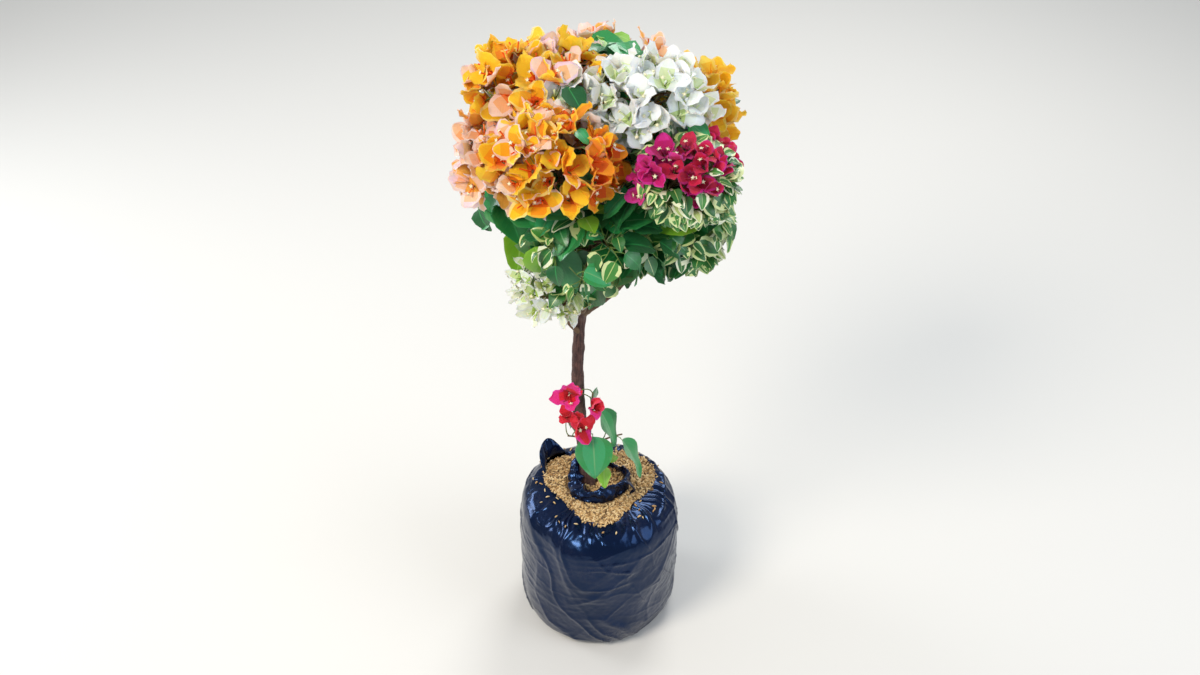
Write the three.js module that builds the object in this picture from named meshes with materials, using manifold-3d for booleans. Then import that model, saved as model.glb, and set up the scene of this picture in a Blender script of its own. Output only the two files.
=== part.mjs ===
// A multi-graft bougainvillea bush in a black film grow bag, as a three.js scene graph.
// Units are millimetres and +Z is up. The origin is the middle of the bag's flat underside, and the
// bush is seen from its front by looking along +Y. The bag, its husk fill, a film sleeve round the
// foot of the stem, the trunk, twelve grafted boughs and fourteen masses of foliage are each a mesh.

import * as THREE from "three";
import { mergeVertices } from "three/addons/utils/BufferGeometryUtils.js";
import Module from "manifold-3d";

const wasm = await Module();
wasm.setup();

// Driving dimensions
const bag = {
  body: [[104, 0], [115, 8], [121, 40], [123, 110], [121, 180], [118, 216]], // radius and height
  shoulder: [[0.35, 232], [0.7, 239.5], [1, 242]], // share of the way in to the mouth, and height
  mouth: { radius: 77, shift: 10, shiftTo: 80, lobes: 12, lobesAt: 30 }, // three-cornered, degrees
  square: { share: 0.018, from: 110, turn: 0.9 }, // how far and from what height it is drawn square
  wall: 1.6,
  floor: 2,
  sides: 30,
};
const seat = 0.3; // gap between pieces that touch
const settled = 0.4; // gap between the husk and the film
const huskLevel = bag.shoulder.at(-1)[1] - bag.wall - settled;
const sleeve = {
  x: -2,
  y: 6,
  radius: 45,
  height: 26,
  wall: 1.4,
  sides: 16,
  depth: 0.92, // share of its width
  bulge: 1.5, // at two fifths of its height
  drawnIn: 3, // at its top
  lobes: [0.05, 0.03], // shares of the radius that it is crumpled by
  tilt: 0.16, // share of its height that the top rises and falls by
};
const trunk = {
  foot: new THREE.Vector3(-15, 20, huskLevel + seat),
  length: 377,
  below: 8, // loft under the foot, cut off level
  lean: -6, // sideways, foot to top
  bow: 12, // sideways, at half height
  sway: 5, // forwards and back, over the length
  footRadius: 10.5,
  topRadius: 7.6,
  flare: 6, // added to the radius at the ground
  flareHeight: 17,
  buttresses: { count: 5, depth: 0.5 },
  knots: { height: 0.35, along: 38, finer: 91 }, // swellings along the stem
  sides: 14,
  steps: 18,
};
// A bough's curve leaves sideways and rises, then comes to its tip from below, in shares of its span
const bough = {
  footRadius: 4.6,
  tipRadius: 3.1,
  sides: 5,
  steps: 6,
  leave: [0.3, 0.22],
  arrive: [0.12, 0.36],
};
// A mass's stem ends at its heart, above the centre by a share of the reach
const stem = { footRadius: 3.1, tipRadius: 2.6, sides: 5, steps: 3, heart: 0.22 };
// Twigs fork off the stem from its tip down over a share of its length, and arch as they go out
const twig = {
  footRadius: 1.8,
  tipRadius: 1.4,
  sides: 3,
  steps: 2,
  forks: [0.97, 0.72],
  arch: 0.16,
  uneven: 0.08,
};
const stalk = { length: 15, radius: 1.3, sides: 3, steps: 1 };
const leaf = { length: 66, width: 45, thickness: 2.4, fold: 6, widest: 0.42, sunk: 0.6 };
const spray = { tip: 36, waist: 25, halfWidth: 14.5, notch: 8, lift: 14, hub: 3 };
const keepOff = 1.2; // between a mass and its neighbours or a limb
const tidying = 0.06; // slivers left by a join are evened out to this
const shortenings = [1, 0.9, 0.8, 0.7, 0.6, 0.5]; // lengths that a twig is tried at
const swings = [0, 0.4, -0.4, 0.8, -0.8]; // ways round the stem that a twig is tried at, radians
const turnings = { count: 8, step: 0.37, shrink: 0.05 }; // ways round its twig that a leaf is tried at
const goldenAngle = Math.PI * (3 - Math.sqrt(5));

// Boughs: height of the graft on the trunk, and where each tip ends
const boughs = {
  bough_front: { graft: 604, tip: [-44, -50, 822] },
  bough_top: { graft: 611, tip: [-56, 24, 858] },
  bough_crown_right: { graft: 607, tip: [40, 4, 858] },
  bough_right: { graft: 590, tip: [72, -50, 796] },
  bough_back: { graft: 600, tip: [12, 72, 832] },
  bough_back_right: { graft: 582, tip: [82, 46, 802] },
  bough_back_left: { graft: 595, tip: [-68, 76, 796] },
  bough_left: { graft: 586, tip: [-92, -8, 788] },
  bough_low_front: { graft: 577, tip: [-14, -32, 694] },
  bough_low_right: { graft: 571, tip: [56, 0, 686] },
  bough_low_back: { graft: 565, tip: [18, 58, 690] },
  bough_low_left: { graft: 560, tip: [-66, 38, 682] },
};

// What a kind of mass carries: how far down its twigs start, the share of the reach they end at, the
// sizes of leaves and sprays, where its side pieces sit on a twig, and the share that are sprays
const habits = {
  bloom: { lowest: -0.35, shell: 0.72, leafSize: 0.75, spraySize: 0.9, sites: [0.62], sprays: 0.5 },
  leafy: { lowest: -0.75, shell: 0.58, leafSize: 1, spraySize: 0, sites: [0.98, 0.7, 0.42], sprays: 0 },
  sprig: { lowest: -0.75, shell: 0.72, leafSize: 0.75, spraySize: 0.68, sites: [0.62], sprays: 0.3 },
};

// Masses: the limb each grows on, a bough's name or a height on the trunk, its space and its twigs
const masses = {
  orange_front: { on: "bough_front", centre: [-54, -76, 886], reach: [88, 76, 66], twigs: 14 },
  orange_top: { on: "bough_top", centre: [-72, 26, 922], reach: [94, 74, 66], twigs: 13 },
  white_top: { on: "bough_crown_right", centre: [56, -4, 918], reach: [86, 68, 62], twigs: 11 },
  magenta_right: { on: "bough_right", centre: [100, -78, 860], reach: [82, 72, 64], twigs: 13 },
  peach_back: { on: "bough_back", centre: [18, 102, 896], reach: [86, 72, 66], twigs: 13 },
  yellow_back: { on: "bough_back_right", centre: [118, 64, 866], reach: [76, 72, 66], twigs: 13 },
  white_back: { on: "bough_back_left", centre: [-94, 108, 858], reach: [76, 68, 64], twigs: 10 },
  peach_left: { on: "bough_left", centre: [-126, -20, 848], reach: [64, 66, 64], twigs: 14 },
  green_front: { on: "bough_low_front", centre: [-6, -72, 760], reach: [98, 78, 78], twigs: 10 },
  green_right: { on: "bough_low_right", centre: [102, -20, 750], reach: [84, 76, 78], twigs: 9 },
  green_back: { on: "bough_low_back", centre: [40, 90, 756], reach: [92, 76, 78], twigs: 9 },
  green_left: { on: "bough_low_left", centre: [-98, 50, 748], reach: [80, 76, 76], twigs: 9 },
  cream_sprig: { on: 540, centre: [-54, -38, 666], reach: [66, 60, 56], twigs: 11 },
  red_sprig: { on: 292, centre: [-14, -38, 388], reach: [62, 44, 100], twigs: 5 },
};
const colours = {
  film: 0x0c1224,
  husk: 0xc9a870,
  bark: 0x5b4238,
  young: 0x6f5a41,
  orange: 0xf3a32a,
  peach: 0xf2a67c,
  yellow: 0xf2c12e,
  white: 0xf1f4ec,
  cream: 0xdfe5bd,
  magenta: 0xc2106e,
  red: 0xd81c34,
  green: 0x2d7d35,
};

// A repeatable number from 0 to 1 for draw n of a seed
function scatter(seed, n) {
  const wave = Math.sin(seed * 12.9898 + n * 78.233) * 43758.5453;
  return wave - Math.floor(wave);
}

// Solids and geometries
function solidOf(geometry) {
  const bare = new THREE.BufferGeometry();
  bare.setAttribute("position", geometry.getAttribute("position"));
  bare.setIndex(geometry.getIndex());
  const merged = mergeVertices(bare, 1e-3);
  const made = new wasm.Mesh({
    numProp: 3,
    vertProperties: new Float32Array(merged.attributes.position.array),
    triVerts: new Uint32Array(merged.index.array),
  });
  return new wasm.Manifold(made);
}

function largest(solid) {
  const pieces = solid.decompose();
  return pieces.reduce((a, b) => (b.volume() > a.volume() ? b : a));
}

function geometryOf(solid) {
  const mesh = solid.getMesh();
  const geometry = new THREE.BufferGeometry();
  geometry.setAttribute("position", new THREE.BufferAttribute(mesh.vertProperties, 3));
  geometry.setIndex(new THREE.BufferAttribute(mesh.triVerts, 1));
  geometry.computeVertexNormals();
  return geometry;
}

const shell = (points, faces) => new THREE.BufferGeometry().setFromPoints(points).setIndex(faces);

// The side walls between rings of points
function walls(rings) {
  const sides = rings[0].length;
  const points = rings.flat();
  const last = points.length - sides;
  const faces = [];
  for (let a = 0; a < last; a++) {
    const b = (a + 1) % sides === 0 ? a + 1 - sides : a + 1;
    faces.push(a, b, b + sides, a, b + sides, a + sides);
  }
  return { points, faces, last, sides };
}

// Walls closed by a fan from the middle of the first ring and of the last
function vessel(rings) {
  const { points, faces, last, sides } = walls(rings);
  const middleOf = (ring) => ring.reduce((sum, p) => sum.add(p), new THREE.Vector3()).divideScalar(sides);
  const [low, high] = [points.push(middleOf(rings[0])) - 1, points.push(middleOf(rings.at(-1))) - 1];
  for (let j = 0; j < sides; j++) {
    const next = (j + 1) % sides;
    faces.push(low, next, j, high, last + j, last + next);
  }
  return shell(points, faces);
}

// A curve's rings, whose radius is a function of the share along it and of the angle
function ringsAlong(curve, { sides, steps }, radiusAt) {
  const frames = curve.computeFrenetFrames(steps, false);
  const rings = frames.normals.map((normal, i) => {
    const middle = curve.getPointAt(i / steps);
    return Array.from({ length: sides }, (unused, j) => {
      const angle = (2 * Math.PI * j) / sides;
      const radius = radiusAt(i / steps, angle);
      return middle
        .clone()
        .addScaledVector(normal, radius * Math.cos(angle))
        .addScaledVector(frames.binormals[i], radius * Math.sin(angle));
    });
  });
  return { rings, frames };
}

// Walls along a curve, closed at its foot and open at its tip
function shoot(curve, sizes, radiusAt) {
  const { rings, frames } = ringsAlong(curve, sizes, radiusAt);
  const made = walls(rings);
  for (let j = 1; j + 1 < made.sides; j++) made.faces.push(0, j + 1, j);
  return { ...made, frames };
}

function limb(curve, sizes, radiusAt) {
  const { points, faces, last, sides } = shoot(curve, sizes, radiusAt);
  for (let j = 1; j + 1 < sides; j++) faces.push(last, last + j, last + j + 1);
  return shell(points, faces);
}

const tapering = (from, to) => (share) => from + (to - from) * share;

// The grow bag: a filled body, slightly square above, whose film folds in over a wide shoulder
function levelRing(radiusAt, height) {
  return Array.from({ length: bag.sides }, (unused, j) => {
    const angle = (2 * Math.PI * j) / bag.sides;
    const radius = radiusAt(angle);
    return new THREE.Vector3(radius * Math.cos(angle), radius * Math.sin(angle), height);
  });
}

function mouthRadius(angle) {
  const { radius, shift, shiftTo, lobes, lobesAt } = bag.mouth;
  const back = shift * Math.cos(angle - THREE.MathUtils.degToRad(shiftTo));
  return radius + back + lobes * Math.cos(3 * (angle - THREE.MathUtils.degToRad(lobesAt)));
}

// The body's radius at a height, drawn a little square as it nears the shoulder
function bodyRadius(radius, height, angle) {
  const { share, from, turn } = bag.square;
  const drawn = THREE.MathUtils.smoothstep(height, from, bag.body.at(-1)[1]);
  return radius * (1 + share * drawn * Math.cos(4 * angle + turn));
}

// The bag's skin taken in by an inset, from a floor height to the mouth
function bagRings(inset, floor) {
  const body = bag.body.map(([radius, height], i) =>
    levelRing((angle) => bodyRadius(radius, height, angle) - inset, i === 0 ? floor : height),
  );
  const [topRadius, topHeight] = bag.body.at(-1);
  const shoulder = bag.shoulder.map(([share, height]) => {
    const outer = (angle) => bodyRadius(topRadius, topHeight, angle) - inset;
    const radiusAt = (angle) => THREE.MathUtils.lerp(outer(angle), mouthRadius(angle), share);
    return levelRing(radiusAt, height - inset);
  });
  return [...body, ...shoulder];
}

function bagShell() {
  const above = levelRing(mouthRadius, 2 * bag.shoulder.at(-1)[1]);
  const hollow = vessel([...bagRings(bag.wall, bag.floor), above]);
  return geometryOf(solidOf(vessel(bagRings(0, 0))).subtract(solidOf(hollow)));
}

const huskFill = () => vessel(bagRings(bag.wall + settled, bag.floor + settled));

// The film sleeve round the foot of the stem, crumpled to an uneven ring
function sleeveRing() {
  const { radius, height, wall, sides, depth, bulge, drawnIn, lobes, tilt } = sleeve;
  const profile = [
    [radius, 0],
    [radius + bulge, height * 0.4],
    [radius - drawnIn, height],
    [radius - drawnIn - wall, height],
    [radius + bulge - wall, height * 0.4],
    [radius - wall, 0],
    [radius, 0],
  ].map(([r, z]) => new THREE.Vector2(r, z));
  const ring = new THREE.LatheGeometry(profile, sides).rotateX(Math.PI / 2);
  const position = ring.getAttribute("position");
  for (let i = 0; i < position.count; i++) {
    const angle = Math.atan2(position.getY(i), position.getX(i));
    const grow = 1 + lobes[0] * Math.cos(3 * angle + 0.5) + lobes[1] * Math.cos(5 * angle);
    position.setXY(i, position.getX(i) * grow, position.getY(i) * grow * depth);
    position.setZ(i, position.getZ(i) * (1 + tilt * Math.cos(2 * angle + 1.2)));
  }
  return ring;
}

// The trunk: a leaning, bowed rootstock that flares into buttressed roots at the ground
const trunkHeight = (share) => share * (trunk.length + trunk.below) - trunk.below;

function trunkCurve() {
  const points = Array.from({ length: 13 }, (unused, i) => {
    const height = trunkHeight(i / 12);
    const share = height / trunk.length;
    const side = trunk.lean * share - trunk.bow * Math.sin(Math.PI * share);
    const depth = trunk.sway * Math.sin(2 * Math.PI * share);
    return trunk.foot.clone().add(new THREE.Vector3(side, depth, height));
  });
  return new THREE.CatmullRomCurve3(points);
}

function trunkRadius(share, angle) {
  const { buttresses, knots } = trunk;
  const flare = trunk.flare * Math.exp(-Math.max(trunkHeight(share), 0) / trunk.flareHeight);
  const root = 1 + buttresses.depth * Math.cos(buttresses.count * angle);
  const knot = Math.sin(share * knots.along) + 0.7 * Math.sin(share * knots.finer + 2 * angle);
  return tapering(trunk.footRadius, trunk.topRadius)(share) + flare * root + knots.height * knot;
}

const trunkPath = trunkCurve();
const trunkWithSeat = solidOf(limb(trunkPath, trunk, (s, a) => trunkRadius(s, a) + seat));

function trunkAt(height) {
  const above = height - trunk.foot.z + trunk.below;
  return trunkPath.getPointAt(above / (trunk.length + trunk.below));
}

function trunkGeometry() {
  const made = solidOf(limb(trunkPath, trunk, trunkRadius));
  return geometryOf(made.trimByPlane([0, 0, 1], trunk.foot.z));
}

// A graft leaves the trunk outwards, then turns up towards its tip
function boughCurve({ graft, tip }) {
  const from = trunkAt(graft);
  const to = new THREE.Vector3(...tip);
  const span = to.distanceTo(from);
  const outward = new THREE.Vector3(to.x - from.x, to.y - from.y, 0).normalize();
  const near = from.clone().addScaledVector(outward, span * bough.leave[0]);
  near.z += span * bough.leave[1];
  const far = to.clone().addScaledVector(outward, -span * bough.arrive[0]);
  far.z -= span * bough.arrive[1];
  return new THREE.CubicBezierCurve3(from, near, far, to);
}

function boughGeometry(curve) {
  const whole = solidOf(limb(curve, bough, tapering(bough.footRadius, bough.tipRadius)));
  return geometryOf(largest(whole.subtract(trunkWithSeat)));
}

// A mass's main stem runs from its limb to the heart of its space
function stemCurve(mass, from, start) {
  const centre = new THREE.Vector3(...mass.centre);
  const heart = centre.clone().addScaledVector(mass.grows, mass.reach[2] * stem.heart);
  const bend = from.clone().addScaledVector(start, from.distanceTo(heart) * 0.5);
  return new THREE.QuadraticBezierCurve3(from, bend, heart);
}

// Twig number n leaves the stem and ends near the mass's edge, by a golden-angle spiral
function twigCurve(mass, n, shortening, swing) {
  const share = (n + 0.5) / mass.twigs;
  const cosine = 1 - share * (1 - mass.habit.lowest);
  const sine = Math.sqrt(1 - cosine * cosine);
  const turn = goldenAngle * n + mass.seed + swing;
  const aim = mass.grows
    .clone()
    .multiplyScalar(cosine)
    .addScaledVector(mass.across, sine * Math.cos(turn))
    .addScaledVector(mass.along, sine * Math.sin(turn));
  const length = shortening * (mass.habit.shell + twig.uneven * scatter(mass.seed, n));
  const end = new THREE.Vector3(...mass.centre);
  end.x += mass.reach[0] * aim.x * length;
  end.y += mass.reach[1] * aim.y * length;
  end.z += mass.reach[2] * aim.z * length;
  const fork = mass.path.getPointAt(twig.forks[0] - twig.forks[1] * share);
  const bend = fork.clone().lerp(end, 0.5);
  bend.addScaledVector(mass.grows, twig.arch * fork.distanceTo(end));
  return new THREE.QuadraticBezierCurve3(fork, bend, end);
}

// A leaf of eight faces, folded along its midrib, with its foot sunk in the twig
function leafGeometry(foot, out, size) {
  const side = new THREE.Vector3(0, 0, 1).cross(out).normalize();
  const up = new THREE.Vector3().crossVectors(out, side);
  const at = (along, across, above) =>
    foot
      .clone()
      .addScaledVector(out, along * size)
      .addScaledVector(side, across * size)
      .addScaledVector(up, above * size);
  const wide = leaf.widest * leaf.length;
  const points = [
    at(-leaf.sunk, 0, 0),
    at(wide, leaf.width / 2, leaf.fold),
    at(leaf.length, 0, -leaf.fold),
    at(wide, -leaf.width / 2, leaf.fold),
    at(wide, 0, leaf.thickness / 2),
    at(wide, 0, -leaf.thickness / 2),
  ];
  const faces = [0, 4, 1, 1, 4, 2, 2, 4, 3, 3, 4, 0, 0, 1, 5, 1, 2, 5, 2, 3, 5, 3, 0, 5];
  return shell(points, faces);
}

// A three-sided shoot along a curve that opens into a cup of three papery bracts
function sprayGeometry(curve, sizes, radiusAt, size) {
  const { points, faces, last, frames } = shoot(curve, sizes, radiusAt);
  const end = curve.getPointAt(1);
  const at = (angle, radius, above) =>
    end
      .clone()
      .addScaledVector(frames.normals.at(-1), radius * size * Math.cos(angle))
      .addScaledVector(frames.binormals.at(-1), radius * size * Math.sin(angle))
      .addScaledVector(frames.tangents.at(-1), above * size);
  const spread = Math.atan2(spray.halfWidth, spray.waist);
  const waist = Math.hypot(spray.halfWidth, spray.waist);
  const rim = points.length;
  for (let i = 0; i < 3; i++) {
    const middle = (2 * Math.PI * i) / 3;
    points.push(at(middle - Math.PI / 3, spray.notch, spray.hub + 1));
    points.push(at(middle - spread, waist, spray.lift));
    points.push(at(middle, spray.tip, spray.lift * 0.85));
    points.push(at(middle + spread, waist, spray.lift));
  }
  const hub = points.push(at(0, 0, spray.hub)) - 1;
  for (let i = 0; i < 12; i++) {
    const root = last + Math.floor(i / 4);
    const a = rim + i;
    const b = rim + ((i + 1) % 12);
    faces.push(hub, a, b, root, b, a);
    if (i % 4 === 3) faces.push(root, last + ((root - last + 1) % 3), b);
  }
  return shell(points, faces);
}

// Planes that share out the crown, each halfway between two masses by their reach
function shareOut(mass, others) {
  const centre = new THREE.Vector3(...mass.centre);
  const supports = (m, way) => Math.hypot(...m.reach.map((r, i) => r * way.getComponent(i)));
  return others.map((other) => {
    const way = new THREE.Vector3(...other.centre).sub(centre);
    const apart = way.length();
    way.normalize();
    const mine = supports(mass, way);
    const far = (apart * mine) / (mine + supports(other, way)) - keepOff / 2;
    return new THREE.Plane(way, -(centre.dot(way) + far));
  });
}

function inSpace(mass, point) {
  const out = mass.centre.map((c, i) => (point.getComponent(i) - c) / mass.reach[i]);
  return Math.hypot(...out) < 1 && mass.walls.every((w) => w.distanceToPoint(point) < 0);
}

// Every limb's solid, swollen by the gap that foliage keeps off it
const swollenLimbs = {};

function keepClearOf(name, curve, sizes, radiusAt) {
  const swollen = (share, angle) => radiusAt(share, angle) + keepOff;
  swollenLimbs[name] = solidOf(limb(curve, sizes, swollen));
}

const meets = (one, other) => !one.intersect(other).isEmpty();

function fits(name, mass, geometry) {
  const corners = geometry.getAttribute("position");
  for (let i = 0; i < corners.count; i++) {
    if (!inSpace(mass, new THREE.Vector3().fromBufferAttribute(corners, i))) return false;
  }
  const solid = solidOf(geometry);
  const others = Object.entries(swollenLimbs).filter(([owner]) => owner !== name);
  return others.every(([, other]) => !meets(solid, other));
}

// The side that leaf or spray number n takes round a twig, tipped outwards and a little down
function sideways(tangent, n, seed, droop) {
  const round = goldenAngle * n + seed;
  const level = new THREE.Vector3(Math.cos(round), Math.sin(round), -droop);
  return level.addScaledVector(tangent, 0.55).normalize();
}

const clearOf = (solids, geometry) => {
  const solid = solidOf(geometry);
  return !solids.some((other) => meets(other, solid));
};

// Twig number n at the greatest length that fits, with a spray at its tip if the mass has sprays
function grownTwig(name, mass, n, earlier) {
  const radiusAt = tapering(twig.footRadius, twig.tipRadius);
  const { spraySize } = mass.habit;
  for (const shortening of shortenings) {
    for (const swing of swings) {
      const curve = twigCurve(mass, n, shortening, swing);
      const shape =
        spraySize > 0 ? sprayGeometry(curve, twig, radiusAt, spraySize) : limb(curve, twig, radiusAt);
      const clear = spraySize === 0 || clearOf(earlier, shape);
      if (clear && fits(name, mass, shape)) return { curve, solid: solidOf(shape), n };
    }
  }
  return null;
}

// A leaf or spray at the side of a twig, turned round it until it fits, or nothing
function sidePiece(name, mass, curve, share, draw, inWay) {
  const { leafSize, spraySize, sprays } = mass.habit;
  const foot = curve.getPointAt(share);
  const tangent = curve.getTangentAt(share);
  const blooms = scatter(mass.seed + 5, draw) < sprays;
  const size = 0.84 + 0.3 * scatter(mass.seed + 3, draw);
  for (let turning = 0; turning < turnings.count; turning++) {
    const way = sideways(tangent, draw + turnings.step * turning, mass.seed, blooms ? -0.5 : 0.2);
    const shrunk = size * (1 - turnings.shrink * turning);
    const reach = new THREE.LineCurve3(foot, foot.clone().addScaledVector(way, stalk.length));
    const piece = blooms
      ? sprayGeometry(reach, stalk, () => stalk.radius, spraySize * shrunk)
      : leafGeometry(foot, way, leafSize * shrunk);
    if (clearOf(inWay, piece) && fits(name, mass, piece)) return piece;
  }
  return null;
}

// The stem, its twigs, and the leaves and sprays that fit, fused to one solid
function massGeometry(name, mass) {
  const grown = [];
  for (let n = 0; n < mass.twigs; n++) {
    const made = grownTwig(name, mass, n, grown.map(({ solid }) => solid));
    if (made !== null) grown.push(made);
  }
  const foliage = [];
  const { sites } = mass.habit;
  for (const own of grown) {
    const others = grown.filter((other) => other !== own).map(({ solid }) => solid);
    for (const [i, share] of sites.entries()) {
      const inWay = [...foliage, ...others];
      const piece = sidePiece(name, mass, own.curve, share, sites.length * own.n + i, inWay);
      if (piece !== null) foliage.push(solidOf(piece));
    }
  }
  const mainStem = solidOf(limb(mass.path, stem, tapering(stem.footRadius, stem.tipRadius)));
  const fused = wasm.Manifold.union([mainStem, ...grown.map(({ solid }) => solid), ...foliage]);
  const seated = typeof mass.on === "number" ? fused.subtract(trunkWithSeat) : fused;
  return geometryOf(largest(seated.simplify(tidying)));
}

// A mass's habit, growing direction, share of the crown and main stem. Masses on the trunk are sprigs.
function settle(name, mass, number) {
  const centre = new THREE.Vector3(...mass.centre);
  const onTrunk = typeof mass.on === "number";
  const from = onTrunk ? trunkAt(mass.on) : boughPaths[mass.on].getPoint(1);
  const level = new THREE.Vector3(centre.x - from.x, centre.y - from.y, 0).normalize();
  const start = onTrunk ? level : boughPaths[mass.on].getTangent(1);
  if (!onTrunk) from.addScaledVector(start, seat);
  mass.seed = number + 1;
  mass.habit = onTrunk ? habits.sprig : name.startsWith("green") ? habits.leafy : habits.bloom;
  mass.grows = centre.clone().sub(from).normalize().add(new THREE.Vector3(0, 0, 0.6)).normalize();
  mass.across = new THREE.Vector3(0, 1, 0).cross(mass.grows).normalize();
  mass.along = new THREE.Vector3().crossVectors(mass.grows, mass.across);
  mass.walls = shareOut(mass, Object.values(masses).filter((other) => other !== mass));
  mass.path = stemCurve(mass, from, start);
  keepClearOf(name, mass.path, stem, tapering(stem.footRadius, stem.tipRadius));
}

// The scene graph
const bush = new THREE.Group();

function add(name, geometry, colour, roughness, at = new THREE.Vector3()) {
  const material = new THREE.MeshStandardMaterial({ color: colour, roughness, metalness: 0 });
  const mesh = new THREE.Mesh(geometry, material);
  mesh.name = name;
  mesh.position.copy(at);
  bush.add(mesh);
}

add("grow_bag", bagShell(), colours.film, 0.3);
add("husk_fill", huskFill(), colours.husk, 0.95);
add("foot_sleeve", sleeveRing(), colours.film, 0.35, new THREE.Vector3(sleeve.x, sleeve.y, trunk.foot.z));
add("trunk", trunkGeometry(), colours.bark, 0.85);
keepClearOf("trunk", trunkPath, trunk, trunkRadius);

const boughPaths = {};
for (const [name, facts] of Object.entries(boughs)) {
  boughPaths[name] = boughCurve(facts);
  keepClearOf(name, boughPaths[name], bough, tapering(bough.footRadius, bough.tipRadius));
  add(name, boughGeometry(boughPaths[name]), colours.young, 0.75);
}

// Every mass is settled before any is made, so that each keeps off the stems of the others
Object.entries(masses).forEach(([name, mass], number) => settle(name, mass, number));
for (const [name, mass] of Object.entries(masses)) {
  const foot = mass.path.getPoint(0);
  const geometry = massGeometry(name, mass).translate(-foot.x, -foot.y, -foot.z);
  add(name, geometry, colours[name.split("_")[0]], 0.6, foot);
}

export default bush;
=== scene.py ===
from math import comb

import bpy
import numpy as np
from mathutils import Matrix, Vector


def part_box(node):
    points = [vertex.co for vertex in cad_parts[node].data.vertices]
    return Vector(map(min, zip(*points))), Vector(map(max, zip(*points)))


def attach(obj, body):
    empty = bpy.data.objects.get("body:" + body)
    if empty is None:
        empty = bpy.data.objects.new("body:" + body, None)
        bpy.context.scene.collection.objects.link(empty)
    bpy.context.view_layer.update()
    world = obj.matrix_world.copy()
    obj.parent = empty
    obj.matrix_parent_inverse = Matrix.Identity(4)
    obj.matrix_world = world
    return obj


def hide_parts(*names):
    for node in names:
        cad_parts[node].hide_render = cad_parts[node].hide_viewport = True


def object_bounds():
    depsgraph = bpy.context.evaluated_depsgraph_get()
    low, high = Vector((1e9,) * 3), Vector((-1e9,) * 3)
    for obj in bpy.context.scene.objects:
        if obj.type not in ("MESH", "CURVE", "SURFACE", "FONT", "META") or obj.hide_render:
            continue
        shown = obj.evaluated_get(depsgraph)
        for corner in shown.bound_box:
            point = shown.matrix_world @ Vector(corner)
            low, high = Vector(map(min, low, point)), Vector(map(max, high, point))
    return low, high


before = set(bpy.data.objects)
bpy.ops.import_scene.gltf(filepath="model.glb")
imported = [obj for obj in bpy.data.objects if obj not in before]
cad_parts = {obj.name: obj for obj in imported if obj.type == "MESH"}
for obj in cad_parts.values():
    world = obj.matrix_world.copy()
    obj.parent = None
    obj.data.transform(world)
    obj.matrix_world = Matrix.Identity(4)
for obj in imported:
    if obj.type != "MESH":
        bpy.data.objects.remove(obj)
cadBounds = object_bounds()

# A grafted bougainvillea in a black film grow bag, seen in its full leaf and bloom.
# Sizes are millimetres and angles radians unless a note says otherwise. Meshes are made in metres.
millimetre = 0.001
goldenAngle = np.pi * (3 - np.sqrt(5))
upwards = np.array([0.0, 0.0, 1.0])
chance = np.random.default_rng(36)


# |v|, the length of each vector of a table
def size(v):
    return np.linalg.norm(v, axis=-1)


# v / |v|
def unit(v):
    return v / np.maximum(size(v)[..., None], 1e-9)


# from one direction towards another by an angle: cos(angle) first + sin(angle) second
def turned(first, second, angle):
    return np.cos(angle) * first + np.sin(angle) * second


# x, y and z, or u and v, each a number or a table of them, as one table of points
def xyz(*axes):
    return np.stack(np.broadcast_arrays(*axes), axis=-1)


# the point at a radius and an angle round the upright, at a height
def polar(radius, angle, height):
    return xyz(radius * np.cos(angle), radius * np.sin(angle), height)


# angles in even steps round a whole turn
def evenAngles(count):
    return np.arange(count) * 2 * np.pi / count


# 0 up to low, 1 from high, and 3t^2 - 2t^3 between
def smoothstep(value, low, high):
    t = np.clip((value - low) / (high - low), 0, 1)
    return t * t * (3 - 2 * t)


# value noise from -1 to 1: a mixed-up number for each whole place, blended by 3t^2 - 2t^3
def noise(points, seed=0):
    cell = np.floor(points).astype(np.int64)
    blend = smoothstep(points - cell, 0, 1)
    total = np.zeros(points.shape[:-1])
    for corner in np.ndindex(2, 2, 2):
        place = cell + corner
        mixed = place[..., 0] * 73856093 ^ place[..., 1] * 19349663 ^ place[..., 2] * 83492791
        mixed = (mixed ^ seed * 668265263) & 0xFFFFFFFF
        mixed = ((mixed ^ (mixed >> 13)) * 1274126177) & 0xFFFFFFFF
        mixed = ((mixed ^ (mixed >> 16)) * 1103515245) & 0xFFFFFFFF
        share = np.prod(np.where(corner, blend, 1 - blend), axis=-1)
        total += share * (mixed / 2**31 - 1)
    return total


# each octave is twice as fine and half as strong as the last
def fractal(points, octaves, seed=0):
    return sum(noise(points * 2**k, seed + k) / 2**k for k in range(octaves))


# folds with a sharp crest where the noise passes through nought: (1 - |noise|)^sharpness
def creases(points, sharpness, seed=0):
    return np.clip(1 - np.abs(fractal(points, 2, seed)), 0, 1) ** sharpness


# repeatable number from 0 to 1 for draw n of a seed
def scatter(seed, n):
    wave = np.sin(seed * 12.9898 + n * 78.233) * 43758.5453
    return wave - np.floor(wave)


# point(t) = sum of choose(n, i) (1 - t)^(n - i) t^i control i, for n + 1 points or tables of points
def bezier(controls, steps):
    n = len(controls) - 1
    t = np.linspace(0, 1, steps)[:, None]
    return sum(comb(n, i) * (1 - t) ** (n - i) * t**i * at[..., None, :] for i, at in enumerate(controls))


# the points a share of the way along a curve, measured on its length
def pointsAt(curve, shares):
    lengths = np.concatenate([[0], np.cumsum(size(np.diff(curve, axis=0)))])
    return np.stack([np.interp(shares * lengths[-1], lengths, curve[:, k]) for k in range(3)], axis=-1)


# faces are four vertex numbers, the last -1 in a triangle
def quadsOver(table):
    corners = [table[:-1, :-1], table[:-1, 1:], table[1:, 1:], table[1:, :-1]]
    return np.stack(corners, axis=-1).reshape(-1, 4)


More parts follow.
